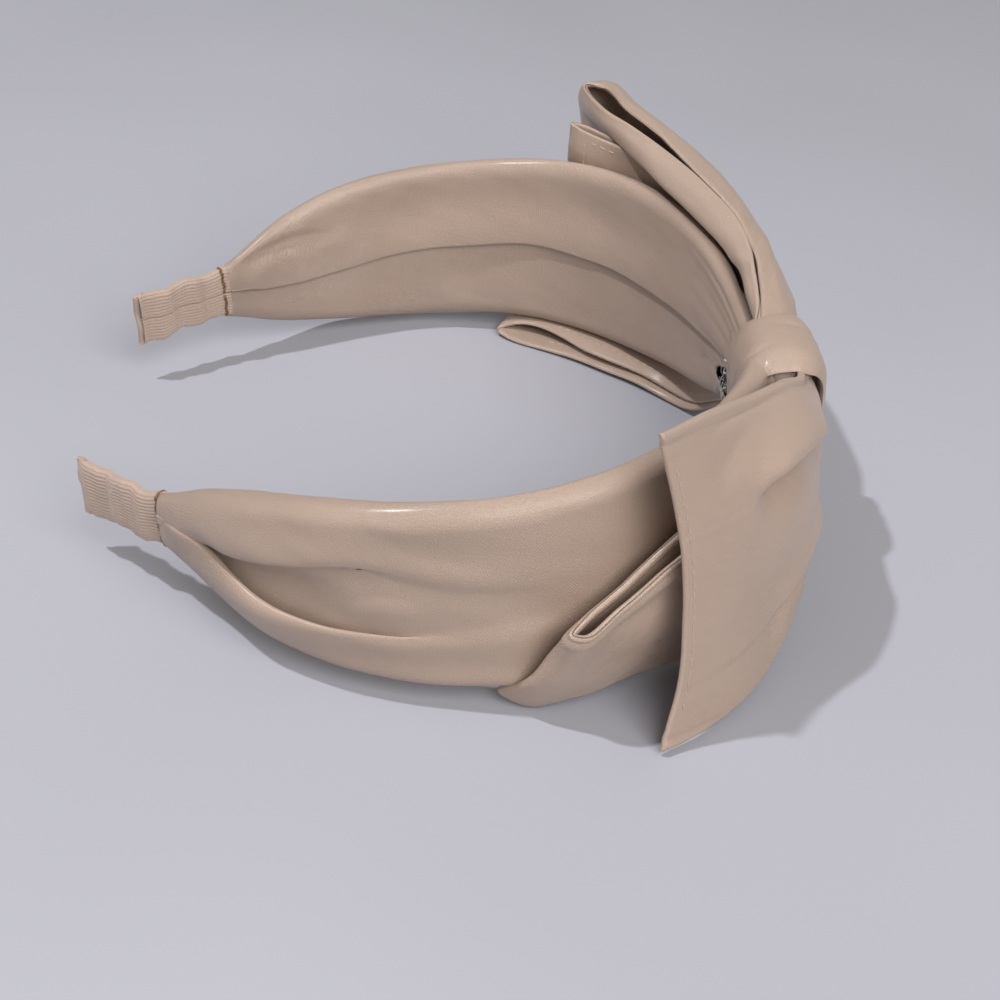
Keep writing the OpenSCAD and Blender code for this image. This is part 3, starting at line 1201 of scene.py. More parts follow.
@dataclass(frozen=True)
class Crease:
    """A crease or swell across a strip of the bow.

    Args:
        start: (angle, z) of one end.
        end: (angle, z) of the other.
        depth: depth, mm; negative for a swell.
        above: width on its upper side, mm.
        below: width on its lower side, mm.
        fade: share of its length over which it fades at each end.
        bow: how far its middle rises above the straight line, mm.
        along: shares of the strip's length it may lie in.
    """

    start: tuple[float, float]
    end: tuple[float, float]
    depth: float
    above: float
    below: float
    fade: float = 0.35
    bow: float = 0.0
    along: tuple[float, float] = (0.0, 1.0)

    def height(self, angle: np.ndarray, z: np.ndarray, share: np.ndarray) -> np.ndarray:
        """Args: angle, z and share of the length at each point. Returns: heights, mm."""
        line = np.array([(self.end[0] - self.start[0]) * BOW_ARC, self.end[1] - self.start[1]])
        size = float(np.hypot(*line))
        line = line / size
        x, y = (angle - self.start[0]) * BOW_ARC, z - self.start[1]
        t = (x * line[0] + y * line[1]) / size
        across = -x * line[1] + y * line[0] - self.bow * np.sin(np.clip(t, 0, 1) * np.pi)
        width = np.where(across > 0, self.above, self.below * (1.3 - 0.6 * np.clip(t, 0, 1)))
        ends = ease(t / self.fade) * ease((1 - t) / self.fade)
        held = ease((share - self.along[0] + 0.1) / 0.1) * ease((self.along[1] + 0.1 - share) / 0.1)
        return -self.depth * held * ends * np.exp(-((across / width) ** 2))


# A station is (angle in degrees, out from the arch line in mm, height z in mm).
Station = tuple[float, float, float]


@dataclass
class BowPiece:
    """One loop or tail of the bow: a doubled satin strip.

    Args:
        name: name of the piece.
        node: CAD node it stands for.
        side: which limb it lies on.
        rows: control stations (angle, out, z), one row per step along the strip.
        creases: creases and swells.
        flat: (width, length) of its flat cut, metres; not used.
        area: area of its flat cut, square metres; not used.
        thick: thickness of the doubled cloth, mm.
        steps: points along and across.
        wave: height of its gentle waves, mm.
        rims: how strongly its two long edges are rolled, mm.
        hems: start and end, in shares along and across, and face of the stitched lines.
        loops_back: whether both its ends run into the knot.
    """

    name: str
    node: str
    side: Side
    rows: Sequence[Sequence[Station]]
    creases: Sequence[Crease]
    flat: tuple[float, float]
    area: Optional[float] = None
    thick: float = 1.1
    steps: tuple[int, int] = (180, 130)
    wave: float = 0.14
    rims: tuple[float, float] = (0.22, 0.22)
    hems: Sequence[tuple[tuple[float, float], tuple[float, float], float]] = ()
    loops_back: bool = True

    def _stations(self) -> np.ndarray:
        """Returns: stations (angle, out, z) on the fine grid."""
        table = np.array(self.rows, float)
        control = ARCH.place(table[..., 0], table[..., 1], table[..., 2], self.side)
        nu, nv = self.steps
        across = np.linalg.norm(np.diff(control, axis=1), axis=-1).mean(axis=0)
        v_knots = np.concatenate([[0], np.cumsum(across)]) / across.sum()
        fine = hermite(v_knots, np.moveaxis(table, 1, 0), np.linspace(0, 1, nv))
        along = np.linalg.norm(np.diff(control, axis=0), axis=-1).mean(axis=1) ** 0.8
        u_knots = np.concatenate([[0], np.cumsum(along)]) / along.sum()
        return hermite(u_knots, np.moveaxis(fine, 1, 0), np.linspace(0, 1, nu))

    def grid(self) -> Grid:
        """Returns: the middle surface of the strip."""
        stations = self._stations()
        angle, out, z = (stations[..., k] for k in range(3))
        flip = slice(None, None, -1) if self.side is Side.LEFT else slice(None)
        grid = Grid(ARCH.place(angle, out, z, self.side)[:, flip])
        a, b = grid.spans()
        b = b.max() - b if self.side is Side.LEFT else b
        share, across = a / a.max(), b / b.max()
        height = self.wave * ripples(a, b, 34.0, len(self.name))
        height = height + 0.05 * ripples(a, b, 9.0, len(self.name) + 3)
        for crease in self.creases:
            height = height + crease.height(angle[:, flip], z[:, flip], share)
        height = height + self._gathers(share, across)
        for gap, rim in ((b, self.rims[0]), (b.max() - b, self.rims[1])):
            ridge = np.exp(-(((gap - 0.4) / 0.6) ** 2))
            groove = np.exp(-(((gap - 1.9) / 0.7) ** 2))
            height = height + rim * (ridge - 0.6 * groove)
        return grid.lifted(height)

    def _gathers(self, u: np.ndarray, v: np.ndarray) -> np.ndarray:
        """Pleats at the knot end or ends.

        Args:
            u: share along the strip.
            v: share across it.
        Returns:
            heights, mm.
        """
        rng = np.random.default_rng(SEED + len(self.name) * 5)
        root = np.minimum(u, 1 - u) if self.loops_back else u
        total = np.zeros_like(u)
        for centre in np.linspace(0.14, 0.88, 6):
            at = centre + rng.uniform(-0.05, 0.05)
            long = rng.uniform(0.12, 0.28)
            depth = rng.uniform(0.3, 0.8)
            wide = rng.uniform(0.02, 0.045)
            total -= depth * ease((long - root) / long) * np.exp(-np.abs((v - at) / wide) ** 1.6)
        return total

    def build(self) -> bpy.types.Object:
        """Returns: the piece."""
        middle = self.grid()
        grid, half = middle.rounded(self.thick / 2)
        solid = Solid()
        solid.skin(grid, half)
        obj = solid.build(self.name, SATIN.material())
        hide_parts(self.node)
        flex(obj, self.side)
        if self.hems:
            self._stitches(middle)
        return obj

    def _stitches(self, grid: Grid) -> bpy.types.Object:
        """Dashes of thread along the hems.

        Args:
            grid: the middle surface.
        Returns:
            the stitches as one piece.
        """
        solid = Solid()
        rows, cols = grid.points.shape[:2]
        normal = grid.normals()
        for (u0, v0), (u1, v1), face in self.hems:
            if self.side is Side.LEFT:
                v0, v1 = 1 - v0, 1 - v1
            t = np.linspace(0, 1, 400)
            i = (u0 + (u1 - u0) * t) * (rows - 1)
            j = (v0 + (v1 - v0) * t) * (cols - 1)
            path = self._sample(grid.points, i, j) + self._sample(normal, i, j) * face * (self.thick / 2)
            length = np.concatenate([[0], np.cumsum(np.linalg.norm(np.diff(path, axis=0), axis=1))])
            pitch, dash = 2.1, 1.45
            for k in range(int(length[-1] // pitch)):
                s = k * pitch + np.linspace(0, dash, 6)
                bit = np.stack([np.interp(s, length, path[:, c]) for c in range(3)], axis=-1)
                arch = np.sin(np.linspace(0, np.pi, 6))[:, None] * 0.1 - 0.04
                out = self._sample(normal, np.interp(s, length, i), np.interp(s, length, j))
                solid.tube(bit + out * face * arch, 0.11, 6)
        obj = solid.build(f"{self.name}_stitches", STITCH.material())
        return flex(obj, self.side)

    @staticmethod
    def _sample(values: np.ndarray, i: np.ndarray, j: np.ndarray) -> np.ndarray:
        """Reads a grid between its points.

        Args:
            values: grid of vectors.
            i: positions along.
            j: positions across.
        Returns:
            the vectors there.
        """
        a = np.clip(np.floor(i).astype(int), 0, values.shape[0] - 2)
        b = np.clip(np.floor(j).astype(int), 0, values.shape[1] - 2)
        fi, fj = (i - a)[:, None], (j - b)[:, None]
        low = values[a, b] * (1 - fi) + values[a + 1, b] * fi
        high = values[a, b + 1] * (1 - fi) + values[a + 1, b + 1] * fi
        return low * (1 - fj) + high * fj


TAIL_RIGHT_ROWS: Sequence[Sequence[Station]] = (
    ((2, 8.0, 39.5), (2, 10.2, 36.5), (2, 11.2, 33.0), (2, 11.4, 29.0), (2, 11.0, 25.0), (2, 10.0, 21.0)),
    ((8, 8.4, 40.6), (8, 11.2, 37.5), (8, 12.4, 33.0), (8, 12.8, 28.0), (8, 12.4, 23.0), (8, 11.4, 18.5)),
    ((14.3, 9.0, 43.2), (13.6, 12.2, 39.0), (13, 13.4, 33.5), (12.5, 13.9, 27.5), (12, 13.8, 21.0),
     (11, 13.6, 15.8)),
    ((21.6, 7.0, 48.2), (21.5, 11.6, 43.5), (21, 13.9, 36.0), (20.5, 14.7, 27.5), (20, 14.7, 19.0),
     (18, 14.5, 11.6)),
    ((32.9, 5.4, 53.7), (32, 11.0, 47.5), (31.5, 14.2, 38.5), (31, 15.4, 27.5), (30.8, 15.4, 16.5),
     (30, 15.6, 6.4)),
    ((43.1, 7.8, 59.3), (42, 11.9, 50.0), (41, 14.2, 40.0), (41, 15.5, 27.5), (41.5, 16.4, 15.0),
     (42.5, 17.8, 4.4)),
    ((50.8, 11.6, 62.4), (49.4, 13.0, 51.0), (48.7, 14.3, 41.0), (48.7, 15.8, 29.0), (49.6, 17.4, 16.0),
     (51.8, 18.8, 5.2)),
)

LOOP_RIGHT_ROWS: Sequence[Sequence[Station]] = (
    ((2, 5.5, 38.0), (2, 6.0, 33.0), (2, 6.0, 27.0), (2, 5.5, 21.0)),
    ((12, 5.8, 40.5), (12, 5.8, 34.0), (12, 5.8, 25.0), (12, 5.4, 16.0)),
    ((26, 6.4, 41.0), (26, 5.7, 32.0), (26, 5.4, 20.0), (26, 4.7, 7.0)),
    ((38, 7.4, 40.2), (38, 6.0, 31.0), (38, 5.3, 18.0), (38, 2.8, 6.0)),
    ((46.8, 7.6, 37.4), (47.5, 6.2, 28.5), (48, 5.1, 17.0), (47, 1.6, 6.6)),
    ((53.6, 7.6, 31.6), (54.5, 6.0, 24.5), (56, 5.0, 16.0), (55.5, 1.2, 7.4)),
    ((57.6, 8.6, 28.6), (58.8, 6.4, 22.5), (61, 5.0, 15.5), (62.5, 1.3, 8.9)),
    ((59.5, 10.4, 27.4), (60.6, 7.7, 21.8), (63, 5.5, 15.0), (66.2, 1.2, 10.0)),
    ((58.3, 12.0, 27.4), (59.4, 9.4, 21.6), (61.6, 6.6, 14.8), (63.6, 2.4, 7.9)),
    ((54.2, 11.4, 30.8), (54.8, 9.8, 23.5), (56.2, 7.6, 15.6), (57.5, 4.0, 8.6)),
    ((48.2, 10.9, 35.2), (48.4, 10.0, 26.5), (49, 8.2, 17.0), (50.5, 4.6, 9.6)),
    ((38, 10.6, 38.6), (38, 10.6, 28.5), (38, 9.0, 17.5), (39.5, 5.6, 7.4)),
    ((26, 9.2, 40.4), (26, 10.0, 31.0), (26, 9.8, 20.0), (26, 8.2, 9.0)),
    ((12, 7.8, 39.8), (12, 8.8, 33.0), (12, 8.8, 25.0), (12, 8.0, 16.0)),
    ((2, 7.4, 37.6), (2, 8.0, 32.0), (2, 8.0, 26.0), (2, 7.4, 21.0)),
)

LOOP_LEFT_ROWS: Sequence[Sequence[Station]] = (
    ((-3, 2.0, 44.0), (-3, 2.4, 43.2), (-3, 3.2, 42.0), (-3, 4.4, 40.2), (-3, 6.2, 36.0), (-3, 7.4, 28.0),
     (-3, 7.2, 20.5)),
    ((4, 2.6, 47.2), (4, 1.6, 46.4), (4, 1.6, 45.2), (4, 4.0, 44.4), (4, 6.8, 39.0), (4, 7.8, 28.0),
     (4, 7.6, 18.5)),
    ((10, 3.7, 49.6), (10, 2.2, 48.6), (10.2, 2.2, 47.0), (10, 5.0, 46.2), (10, 7.4, 41.0), (10, 8.0, 28.0),
     (10, 7.8, 16.5)),
    ((17, 4.4, 52.0), (17, 2.0, 50.8), (17, 0.9, 48.8), (17, 4.2, 47.9), (17, 7.6, 43.0), (17, 8.2, 28.0),
     (17, 8.0, 13.5)),
    ((26, 3.7, 54.8), (26, 1.5, 53.6), (27, -0.1, 51.3), (26, 3.8, 50.2), (26, 7.8, 45.0), (26, 8.6, 27.0),
     (26, 8.4, 8.5)),
    ((35.4, 3.9, 57.3), (35.4, 1.8, 55.8), (35.4, 0.9, 53.4), (35, 4.6, 52.2), (35, 8.4, 46.5),
     (35, 8.9, 27.0), (35, 8.6, 5.5)),
    ((42.5, 4.8, 59.4), (42.7, 3.6, 57.7), (42.9, 3.9, 55.3), (43, 6.8, 54.2), (43, 9.4, 48.0),
     (43, 9.6, 26.0), (43, 9.2, 5.0)),
    ((48, 6.8, 60.7), (48.5, 6.6, 59.0), (48.7, 7.7, 56.8), (48.6, 9.8, 55.2), (48.5, 10.8, 48.0),
     (48, 10.8, 26.0), (47.5, 10.2, 5.4)),
    ((51.6, 11.6, 61.2), (52.2, 12.2, 59.6), (52.9, 14.0, 57.6), (52.4, 14.6, 54.5), (51.6, 13.4, 47.0),
     (50.6, 12.4, 26.0), (49.6, 11.4, 5.8)),
    ((53.6, 16.8, 61.4), (54.2, 18.4, 60.0), (54.6, 20.0, 58.0), (54, 18.6, 53.0), (53, 17.0, 46.0),
     (52, 15.4, 26.0), (51, 13.6, 6.2)),
    ((51.4, 18.0, 61.4), (51.8, 21.4, 60.8), (51.6, 23.4, 59.0), (51.2, 23.6, 54.0), (50.8, 22.0, 46.0),
     (50, 19.0, 26.0), (49.4, 16.0, 6.2)),
    ((46.5, 11.9, 60.5), (46.7, 14.6, 60.4), (46.8, 17.5, 58.6), (46.8, 19.8, 53.0), (46.8, 20.4, 45.0),
     (46.5, 19.2, 26.0), (46, 16.0, 5.6)),
    ((40.9, 8.7, 59.2), (41.2, 12.0, 58.6), (41.8, 15.0, 56.0), (41.5, 18.4, 51.0), (41, 19.4, 43.0),
     (41, 18.6, 26.0), (41, 15.6, 5.4)),
    ((34, 6.2, 57.0), (34, 10.4, 56.0), (34, 14.4, 52.6), (34, 17.2, 47.0), (34, 18.0, 40.0),
     (34, 17.8, 26.0), (34, 15.4, 6.5)),
    ((26, 5.2, 54.6), (26, 9.4, 53.0), (26, 13.4, 48.8), (26, 16.0, 43.5), (26, 16.8, 37.0),
     (26, 16.6, 26.0), (26, 14.8, 9.0)),
    ((18, 6.0, 51.6), (18, 9.4, 49.5), (18, 12.6, 44.5), (18, 14.6, 40.0), (18, 15.2, 34.5),
     (18, 15.0, 26.5), (18, 13.6, 12.5)),
    ((9.3, 5.0, 48.6), (9, 8.2, 46.8), (9, 10.8, 42.5), (9, 12.4, 38.5), (9, 13.0, 33.5), (9, 13.0, 27.0),
     (9, 12.0, 17.0)),
    ((-2, 3.0, 44.4), (-2, 6.2, 43.2), (-2, 8.8, 40.0), (-2, 10.2, 36.5), (-2, 10.8, 32.5),
     (-2, 10.8, 27.5), (-2, 10.0, 20.5)),
)

TAIL_LEFT_ROWS: Sequence[Sequence[Station]] = (
    ((2, 3.8, 41.0), (2, 4.2, 38.0), (2, 4.7, 34.0), (2, 4.9, 30.0), (2, 5.0, 26.0), (2, 4.9, 22.0),
     (2, 4.5, 19.5)),
    ((10, 4.7, 44.0), (10, 4.9, 41.5), (10, 5.0, 37.5), (10, 5.0, 32.0), (10, 5.0, 25.0), (10, 4.9, 19.5),
     (10, 4.5, 16.0)),
    ((17, 4.9, 46.6), (17, 5.0, 43.5), (17, 5.0, 39.0), (17, 5.0, 32.0), (17, 5.0, 22.0), (17, 4.8, 15.0),
     (17, 3.9, 10.8)),
    ((26, 5.2, 49.8), (26, 5.0, 45.5), (26, 5.0, 40.0), (26, 5.0, 32.0), (26, 5.0, 18.0), (25, 4.4, 9.8),
     (24.2, 2.0, 5.2)),
    ((36, 5.2, 52.4), (36, 5.0, 47.5), (36, 5.0, 41.0), (36, 5.0, 32.0), (36, 5.0, 17.0), (35.5, 4.3, 9.6),
     (34.5, -1.6, 6.4)),
    ((44, 4.4, 54.4), (44, 4.7, 49.6), (44.5, 5.0, 42.0), (45, 5.0, 32.0), (45.5, 5.0, 17.0),
     (45.5, 4.3, 10.0), (45, -4.4, 7.9)),
    ((51.0, 2.9, 57.4), (51.2, 2.6, 52.8), (52, 4.4, 46.0), (53.5, 4.9, 36.0), (57, 4.9, 20.0),
     (59.6, 4.2, 10.6), (61.4, -1.6, 9.2)),
    ((52, 3.4, 57.9), (52.2, 3.2, 53.0), (53, 4.9, 46.0), (54.4, 5.3, 36.0), (58, 5.4, 20.0),
     (61.2, 4.9, 10.0), (64.0, -2.8, 8.2)),
    ((51.2, 4.2, 57.6), (51.2, 4.2, 53.0), (52, 5.8, 46.0), (53.5, 6.2, 36.0), (57, 6.2, 20.0),
     (60, 5.4, 8.8), (62.4, -4.2, 7.4)),
    ((44, 5.8, 54.6), (44, 5.9, 49.6), (44.5, 6.2, 42.0), (45, 6.2, 32.0), (45.5, 6.3, 17.0),
     (45.5, 5.2, 8.0), (45, -5.4, 5.5)),
    ((36, 6.5, 52.6), (36, 6.2, 47.5), (36, 6.2, 41.0), (36, 6.2, 32.0), (36, 6.2, 17.0), (35.5, 5.2, 7.2),
     (34.5, -2.9, 4.4)),
    ((26, 6.4, 50.0), (26, 6.2, 45.5), (26, 6.2, 40.0), (26, 6.2, 32.0), (26, 6.2, 18.0), (25, 5.2, 7.6),
     (24.2, 1.4, 3.2)),
    ((17, 6.0, 46.8), (17, 6.1, 43.5), (17, 6.2, 39.0), (17, 6.2, 32.0), (17, 6.2, 22.0), (17, 5.8, 13.6),
     (17, 4.6, 9.4)),
    ((10, 5.8, 44.2), (10, 6.0, 41.5), (10, 6.1, 37.5), (10, 6.1, 32.0), (10, 6.1, 25.0), (10, 5.9, 18.6),
     (10, 5.4, 14.8)),
    ((2, 5.0, 41.0), (2, 5.6, 38.0), (2, 5.9, 34.0), (2, 6.1, 30.0), (2, 6.1, 26.0), (2, 5.8, 22.0),
     (2, 5.4, 19.2)),
)


def bow_pieces() -> list[BowPiece]:
    """Returns: the two loops and two tails."""
    return [
        BowPiece(
            "bow_tail_right", "tail_right", Side.RIGHT, TAIL_RIGHT_ROWS,
            (
                Crease((11.0, 31.0), (39.5, 42.0), 4.0, 0.7, 5.5, 0.22, 2.6),
                Crease((14.0, 33.8), (40.0, 44.6), -1.7, 3.4, 1.2, 0.3, 2.4),
                Crease((11.0, 15.0), (37.5, 13.0), 3.6, 0.7, 4.6, 0.22, 2.6),
                Crease((14.0, 17.2), (38.0, 15.8), -1.4, 3.2, 1.2, 0.3, 2.2),
                Crease((22.0, 46.5), (49.0, 53.0), 0.8, 2.4, 4.5, 0.4, 1.0),
            ),
            flat=(0.063, 0.082), area=0.0040, rims=(0.3, 0.2), steps=(260, 180),
            hems=(((0.985, 0.10), (0.985, 0.93), 1.0),), loops_back=False,
        ),
        BowPiece(
            "bow_loop_right", "loop_right", Side.RIGHT, LOOP_RIGHT_ROWS,
            (
                Crease((40.0, 34.0), (58.0, 26.0), -0.6, 1.6, 3.0, 0.4, 0.0, (0.55, 1.0)),
                Crease((38.0, 16.0), (62.0, 17.0), -0.7, 4.0, 5.0, 0.4, 0.0, (0.55, 1.0)),
            ),
            flat=(0.063, 0.15), area=0.0052, steps=(280, 90), thick=1.3, rims=(0.25, 0.1),
        ),
        BowPiece(
            "bow_loop_left", "loop_left", Side.LEFT, LOOP_LEFT_ROWS,
            (
                Crease((10.0, 38.0), (40.0, 44.0), -1.4, 3.0, 5.0, 0.4, 0.0, (0.55, 1.0)),
                Crease((10.0, 24.0), (42.0, 16.0), -1.2, 3.0, 4.0, 0.4, 0.0, (0.55, 1.0)),
            ),
            flat=(0.063, 0.17), area=0.0078, steps=(320, 150), thick=1.2, rims=(0.15, 0.1),
        ),
        BowPiece(
            "bow_tail_left", "tail_left", Side.LEFT, TAIL_LEFT_ROWS, (),
            flat=(0.063, 0.16), area=0.0075, steps=(300, 150), thick=0.9, wave=0.04, rims=(0.05, 0.05),
            hems=(
                ((0.12, 0.955), (0.44, 0.965), -1.0),
                ((0.56, 0.972), (0.92, 0.965), 1.0),
                ((0.40, 0.03), (0.455, 0.03), -1.0),
                ((0.455, 0.04), (0.455, 0.5), -1.0),
            ),
        ),
    ]


# --- The knot ---


@dataclass
class Knot:
    """The wrap round the crown, the gathered strip in it and its tacking.

    Args:
        inside: how far its section reaches in from the arch line, mm.
        outside: how far it reaches out, mm.
        half_high: half its height, mm.
        edges: stations of (turn in degrees, y of the left edge, y of the right edge).
        gathered: y where the gathered strip starts and ends.
        tack_turns: turns of the first and last tacking stitch, degrees.
        tacks: how many tacking stitches there are.
    """

    inside: float = 4.4
    outside: float = 13.8
    half_high: float = 15.0
    edges: tuple[tuple[float, float, float], ...] = (
        (-90.0, 7.0, -9.0), (0.0, 2.5, -12.5), (60.0, 0.6, -18.6), (90.0, -0.6, -19.2),
        (120.0, -1.8, -19.4), (140.0, -1.2, -18.2), (165.0, 0.6, -15.5), (180.0, 0.2, -13.5),
        (205.0, 0.0, -11.5), (235.0, 3.5, -10.0), (270.0, 7.0, -9.0), (360.0, 2.5, -12.5),
    )
    gathered: tuple[float, float] = (-20.4, 3.0)
    tack_turns: tuple[float, float] = (158, 208)
    tacks: int = 6

    def _ring(self, turn: np.ndarray, grow: np.ndarray) -> np.ndarray:
        """Points round the wrap's section.

        Args:
            turn: angle round the section, radians, 0 at the outside and a quarter turn at the top.
            grow: distance outward, mm.
        Returns:
            x and z in the arch frame.
        """
        crown = float(ARCH.radius(0.0))
        deep = (self.inside + self.outside) / 2
        middle = crown + (self.outside - self.inside) / 2
        c, s = np.cos(turn), np.sin(turn)
        x = np.sign(c) * np.abs(c) ** 0.8 * (deep + grow)
        z = np.sign(s) * np.abs(s) ** 0.74 * (self.half_high + grow)
        return np.stack(np.broadcast_arrays(middle + x, ARCH.middle + z), axis=-1)

    @staticmethod
    def _snug(turn: np.ndarray) -> np.ndarray:
        """Args: angle round the section. Returns: how far it is drawn in on the head side, mm."""
        return 2.2 * np.exp(-(((turn - math.radians(192)) / 0.75) ** 2))

    def _wrap(self) -> Grid:
        """Returns: the outer surface of the wrap."""
        around, across = ((420, 130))
        turn = np.linspace(0, math.tau, around, endpoint=False)[:, None]
        share = np.linspace(-1, 1, across)[None]
        table = np.array(self.edges)
        bounds = hermite(table[:, 0], table[:, 1:], np.degrees(turn[:, 0]))
        left, right = bounds[:, :1], bounds[:, 1:]
        top = np.exp(-(((turn - math.pi * 0.5) / 0.9) ** 2))
        tuck = np.where(share > 0, 1.0 + 1.8 * top, 0.9)
        puff = 0.8 - tuck * np.abs(share) ** 4.0
        pleats = np.zeros(np.broadcast(turn, share).shape)
        for at, depth, width, wander in ((-0.55, 0.45, 0.10, 0.5), (-0.1, 0.25, 0.12, 1.4),
                                         (0.45, 0.35, 0.10, 4.0)):
            line = at + 0.14 * np.sin(turn + wander)
            strength = np.clip(np.sin(turn * 1.5 + wander), 0, 1)
            pleats = pleats - depth * strength * np.exp(-np.abs((share - line) / width) ** 1.6)
        y = left * (1 - share) / 2 + right * (1 + share) / 2
        ripple = 0.14 * ripples(turn * 12.0, y, 17.0, 33) + 0.04 * ripples(turn * 12.0, y, 6.0, 35)
        xz = self._ring(turn, puff + pleats + ripple - self._snug(turn))
        points = np.stack([xz[..., 0], y, xz[..., 1]], axis=-1)
        return Grid(np.swapaxes(points, 0, 1)[::-1], closed=True)

    def build(self) -> None:
        """Makes the wrap, the gathered middle and the tacking."""
        grid = self._wrap()
        solid = Solid()
        share = np.linspace(-1, 1, grid.points.shape[0])[:, None]
        rim = 0.6 * np.sqrt(np.clip(1 - np.abs(share) ** 14, 0.02, 1)) * np.ones(grid.points.shape[:2])
        solid.skin(grid, rim, both=False)
        wrap = solid.build("knot_wrap_satin", SATIN.material())
        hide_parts("knot_wrap")
        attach(wrap, "crown")
        self._gather()
        self._tacking()

    def _gather(self) -> None:
        """Makes the pleated middle of the strip."""
        rows, around = ((60, 260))
        y = np.linspace(*self.gathered, rows)[:, None]
        turn = np.linspace(0, math.tau, around, endpoint=False)[None]
        c, s = np.cos(turn), np.sin(turn)
        crown = float(ARCH.radius(0.0))
        pleat = 0.4 * np.abs(np.sin(turn * 8 + 0.9 * np.sin(y * 0.25))) ** 0.6
        mouth = ease((-6 - y) / 10)
        end = np.sqrt(np.clip(1 - ((-y - 6.0) / 14.6) ** 8, 0.05, 1))
        x = crown + 6.6 - 2.0 * mouth + np.sign(c) * np.abs(c) ** 0.7 * (5.0 + 1.0 * mouth + pleat) * end
        z = ARCH.middle + np.sign(s) * np.abs(s) ** 0.6 * (12.0 + 1.9 * mouth + pleat) * end
        points = np.stack(np.broadcast_arrays(x, y, z), axis=-1)
        solid = Solid()
        solid.skin(Grid(points, closed=True), np.full(points.shape[:2], 0.45), both=False)
        obj = solid.build("bow_gathered_middle", SATIN.material())
        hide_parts("bow_gather")
        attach(obj, "crown")

    def _tacking(self) -> None:
        """Makes the stitches that close the wrap on the head side."""
        solid = Solid()
        t = np.linspace(-1, 1, 12)
        for turn in np.radians(np.linspace(*self.tack_turns, self.tacks)):
            around = turn + 0.03 * t
            xz = self._ring(around, 1.4 - self._snug(around) + 0.18 * (1 - t**2))
            solid.tube(np.stack([xz[:, 0], 1.1 * t - 5.0, xz[:, 1]], axis=-1), 0.2, 8)
        obj = solid.build("wrap_tacking", STITCH.material())
        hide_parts("knot_stitches")
        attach(obj, "crown")


# --- Studio ---


@dataclass(frozen=True)
class Viewpoint:
    """Where the object is seen from, in the leaning arch's frame.

    Args:
        target: point looked at, mm.
        azimuth: degrees round from the right limb's side.
        elevation: degrees above the arch's plane.
        roll: degrees about the line of sight.
        distance: from the target, mm.
        lens: focal length, mm.
    """

    target: tuple[float, float, float] = (29.32, -38.35, 30.0)
    azimuth: float = -0.56
    elevation: float = 35.55
    roll: float = -1.2
    distance: float = 279.6
    lens: float = 57.3

    def build(self) -> None:
        """Sets the scene's camera."""
        az, el, roll = (math.radians(a) for a in (self.azimuth, self.elevation, self.roll))
        back = np.array([math.cos(el) * math.sin(az), -math.cos(el) * math.cos(az), math.sin(el)])
        up = unit(np.array([0.0, 0.0, 1.0]) - back[2] * back)
        right = np.cross(up, back)
        right_r = right * math.cos(roll) + up * math.sin(roll)
        up_r = np.cross(back, right_r)
        place = ARCH.to_row(np.array(self.target) + back * self.distance)
        axes = [ARCH.direction(v * 100) for v in (right_r, up_r, back)]
        camera = bpy.data.cameras.new("camera")
        camera.lens = self.lens
        camera.sensor_width = 36.0
        camera.clip_start = 0.01
        obj = bpy.data.objects.new("camera", camera)
        columns = [*axes, place]
        rows = [[float(c[i]) for c in columns] for i in range(3)] + [[0.0, 0.0, 0.0, 1.0]]
        obj.matrix_world = Matrix(rows)
        bpy.context.scene.collection.objects.link(obj)
        bpy.context.scene.camera = obj


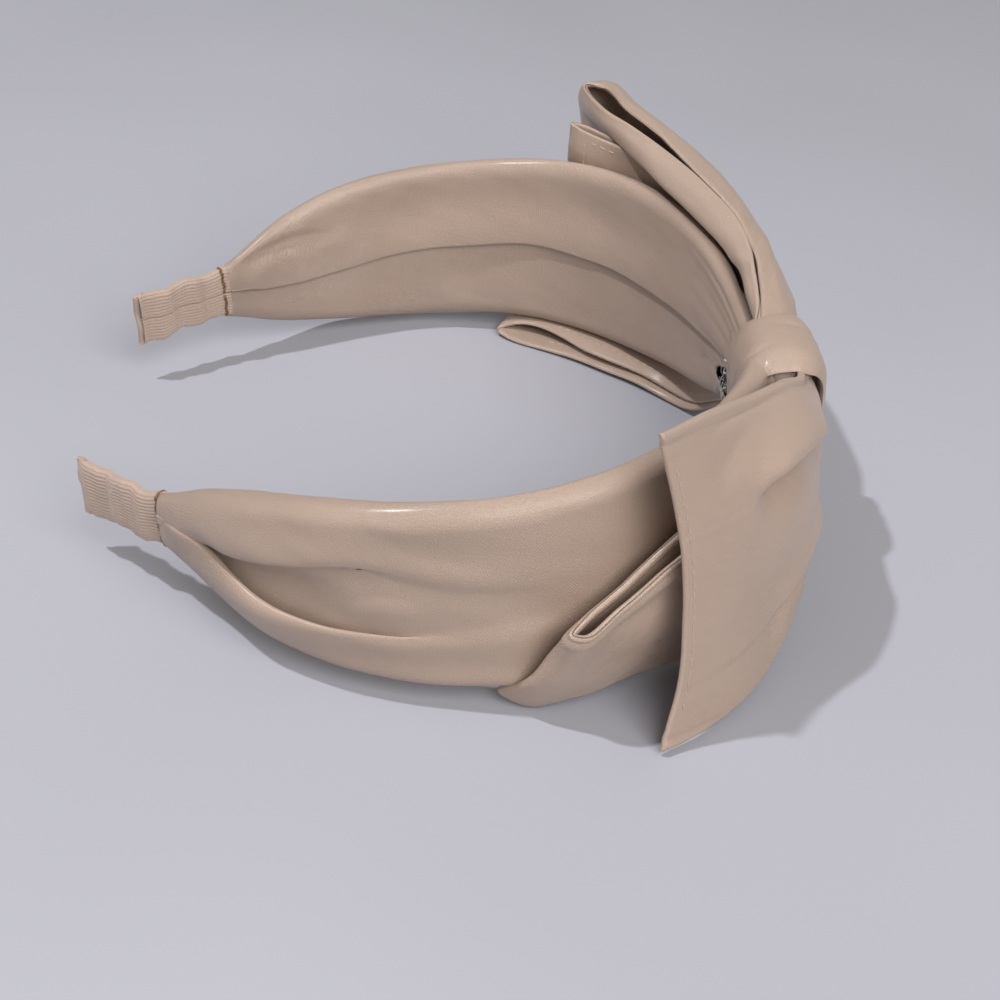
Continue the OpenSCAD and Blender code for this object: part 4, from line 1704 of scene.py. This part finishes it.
@dataclass(frozen=True)
class Studio:
    """A pale floor with one high light from the tips' side and soft fill.

    Args:
        floor: colour of the floor, linear RGB.
        key: power of the main light, watts.
        window: power of the broad light, watts.
        fill: strength of the surroundings.
        travel: direction in which the main light travels.
        key_far: distance of the main light, metres.
        key_size: side of the main light, metres.
        window_place: where the broad light is, metres.
        window_size: side of the broad light, metres.
        surroundings: colour of the surroundings, linear RGB.
        floor_half: half the side of the floor, metres.
    """

    floor: tuple[float, float, float] = (0.39, 0.395, 0.445)
    key: float = 7.2
    window: float = 14.0
    fill: float = 0.31
    travel: tuple[float, float, float] = (0.44, 0.06, -0.90)
    key_far: float = 1.1
    key_size: float = 0.034
    window_place: tuple[float, float, float] = (0.36, -0.8, 0.82)
    window_size: float = 0.9
    surroundings: tuple[float, float, float] = (1.0, 0.94, 0.87)
    floor_half: float = 6.0

    def build(self) -> None:
        """Makes the floor and the lights."""
        self._floor()
        self._world()
        away = -unit(np.array(self.travel))
        window = np.array(self.window_place)
        self._area("key", away * self.key_far, self.key, self.key_size, (0.97, 0.97, 1.0))
        self._area("window", window, self.window, self.window_size, (1.0, 0.985, 0.97))

    def _floor(self) -> None:
        """Makes the floor."""
        mesh = bpy.data.meshes.new("floor")
        size = self.floor_half
        mesh.from_pydata([(-size, -size, 0), (size, -size, 0), (size, size, 0), (-size, size, 0)], [],
                         [(0, 1, 2, 3)])
        made = bpy.data.materials.new("floor_paper")
        made.use_nodes = True
        n = Nodes(made.node_tree)
        shader = made.node_tree.nodes["Principled BSDF"]
        place = n.add("ShaderNodeTexCoord").outputs["Object"]
        tone = n.noise(place, 5.0, 2.0)
        n.link(n.mix(n.ramp(tone, 0.35, 0.65), (*self.floor, 1.0),
                     (*[c * 0.93 for c in self.floor], 1.0)), shader.inputs["Base Color"])
        shader.inputs["Roughness"].default_value = 0.55
        mesh.materials.append(made)
        floor = bpy.data.objects.new("floor", mesh)
        bpy.context.scene.collection.objects.link(floor)

    def _world(self) -> None:
        """Makes the soft surroundings."""
        world = bpy.data.worlds.new("surroundings")
        world.use_nodes = True
        back = world.node_tree.nodes["Background"]
        back.inputs["Color"].default_value = (*self.surroundings, 1.0)
        back.inputs["Strength"].default_value = self.fill
        bpy.context.scene.world = world
        bpy.context.scene.view_settings.view_transform = "Standard"

    @staticmethod
    def _area(name: str, place: np.ndarray, power: float, size: float, colour: tuple) -> None:
        """Makes one light aimed at the object.

        Args:
            name: name of the light.
            place: where it is, metres.
            power: watts.
            size: side of the light, metres.
            colour: linear RGB.
        """
        light = bpy.data.lights.new(name, "AREA")
        light.energy = power
        light.size = size
        light.color = colour
        obj = bpy.data.objects.new(name, light)
        back = unit(place)
        right = unit(np.cross(np.array([0.0, 1.0, 0.0]), back))
        up = np.cross(back, right)
        rows = [[float(c[i]) for c in (right, up, back, place)] for i in range(3)]
        obj.matrix_world = Matrix(rows + [[0.0, 0.0, 0.0, 1.0]])
        bpy.context.scene.collection.objects.link(obj)


def main() -> None:
    """Builds the headband, its floor, lights and camera."""
    logging.basicConfig(level=logging.INFO, format="%(message)s")
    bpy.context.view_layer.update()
    for side in Side:
        cover = Cover(side)
        Lining(side, cover).build()
        RibbonEnd(side).build()
        cover.build()
        LOG.info("limb %s built", side.word)
    for piece in bow_pieces():
        piece.build()
        LOG.info("%s built", piece.name)
    Knot().build()
    LOG.info("knot built")
    Studio().build()
    Viewpoint().build()


if __name__ == "__main__":
    main()
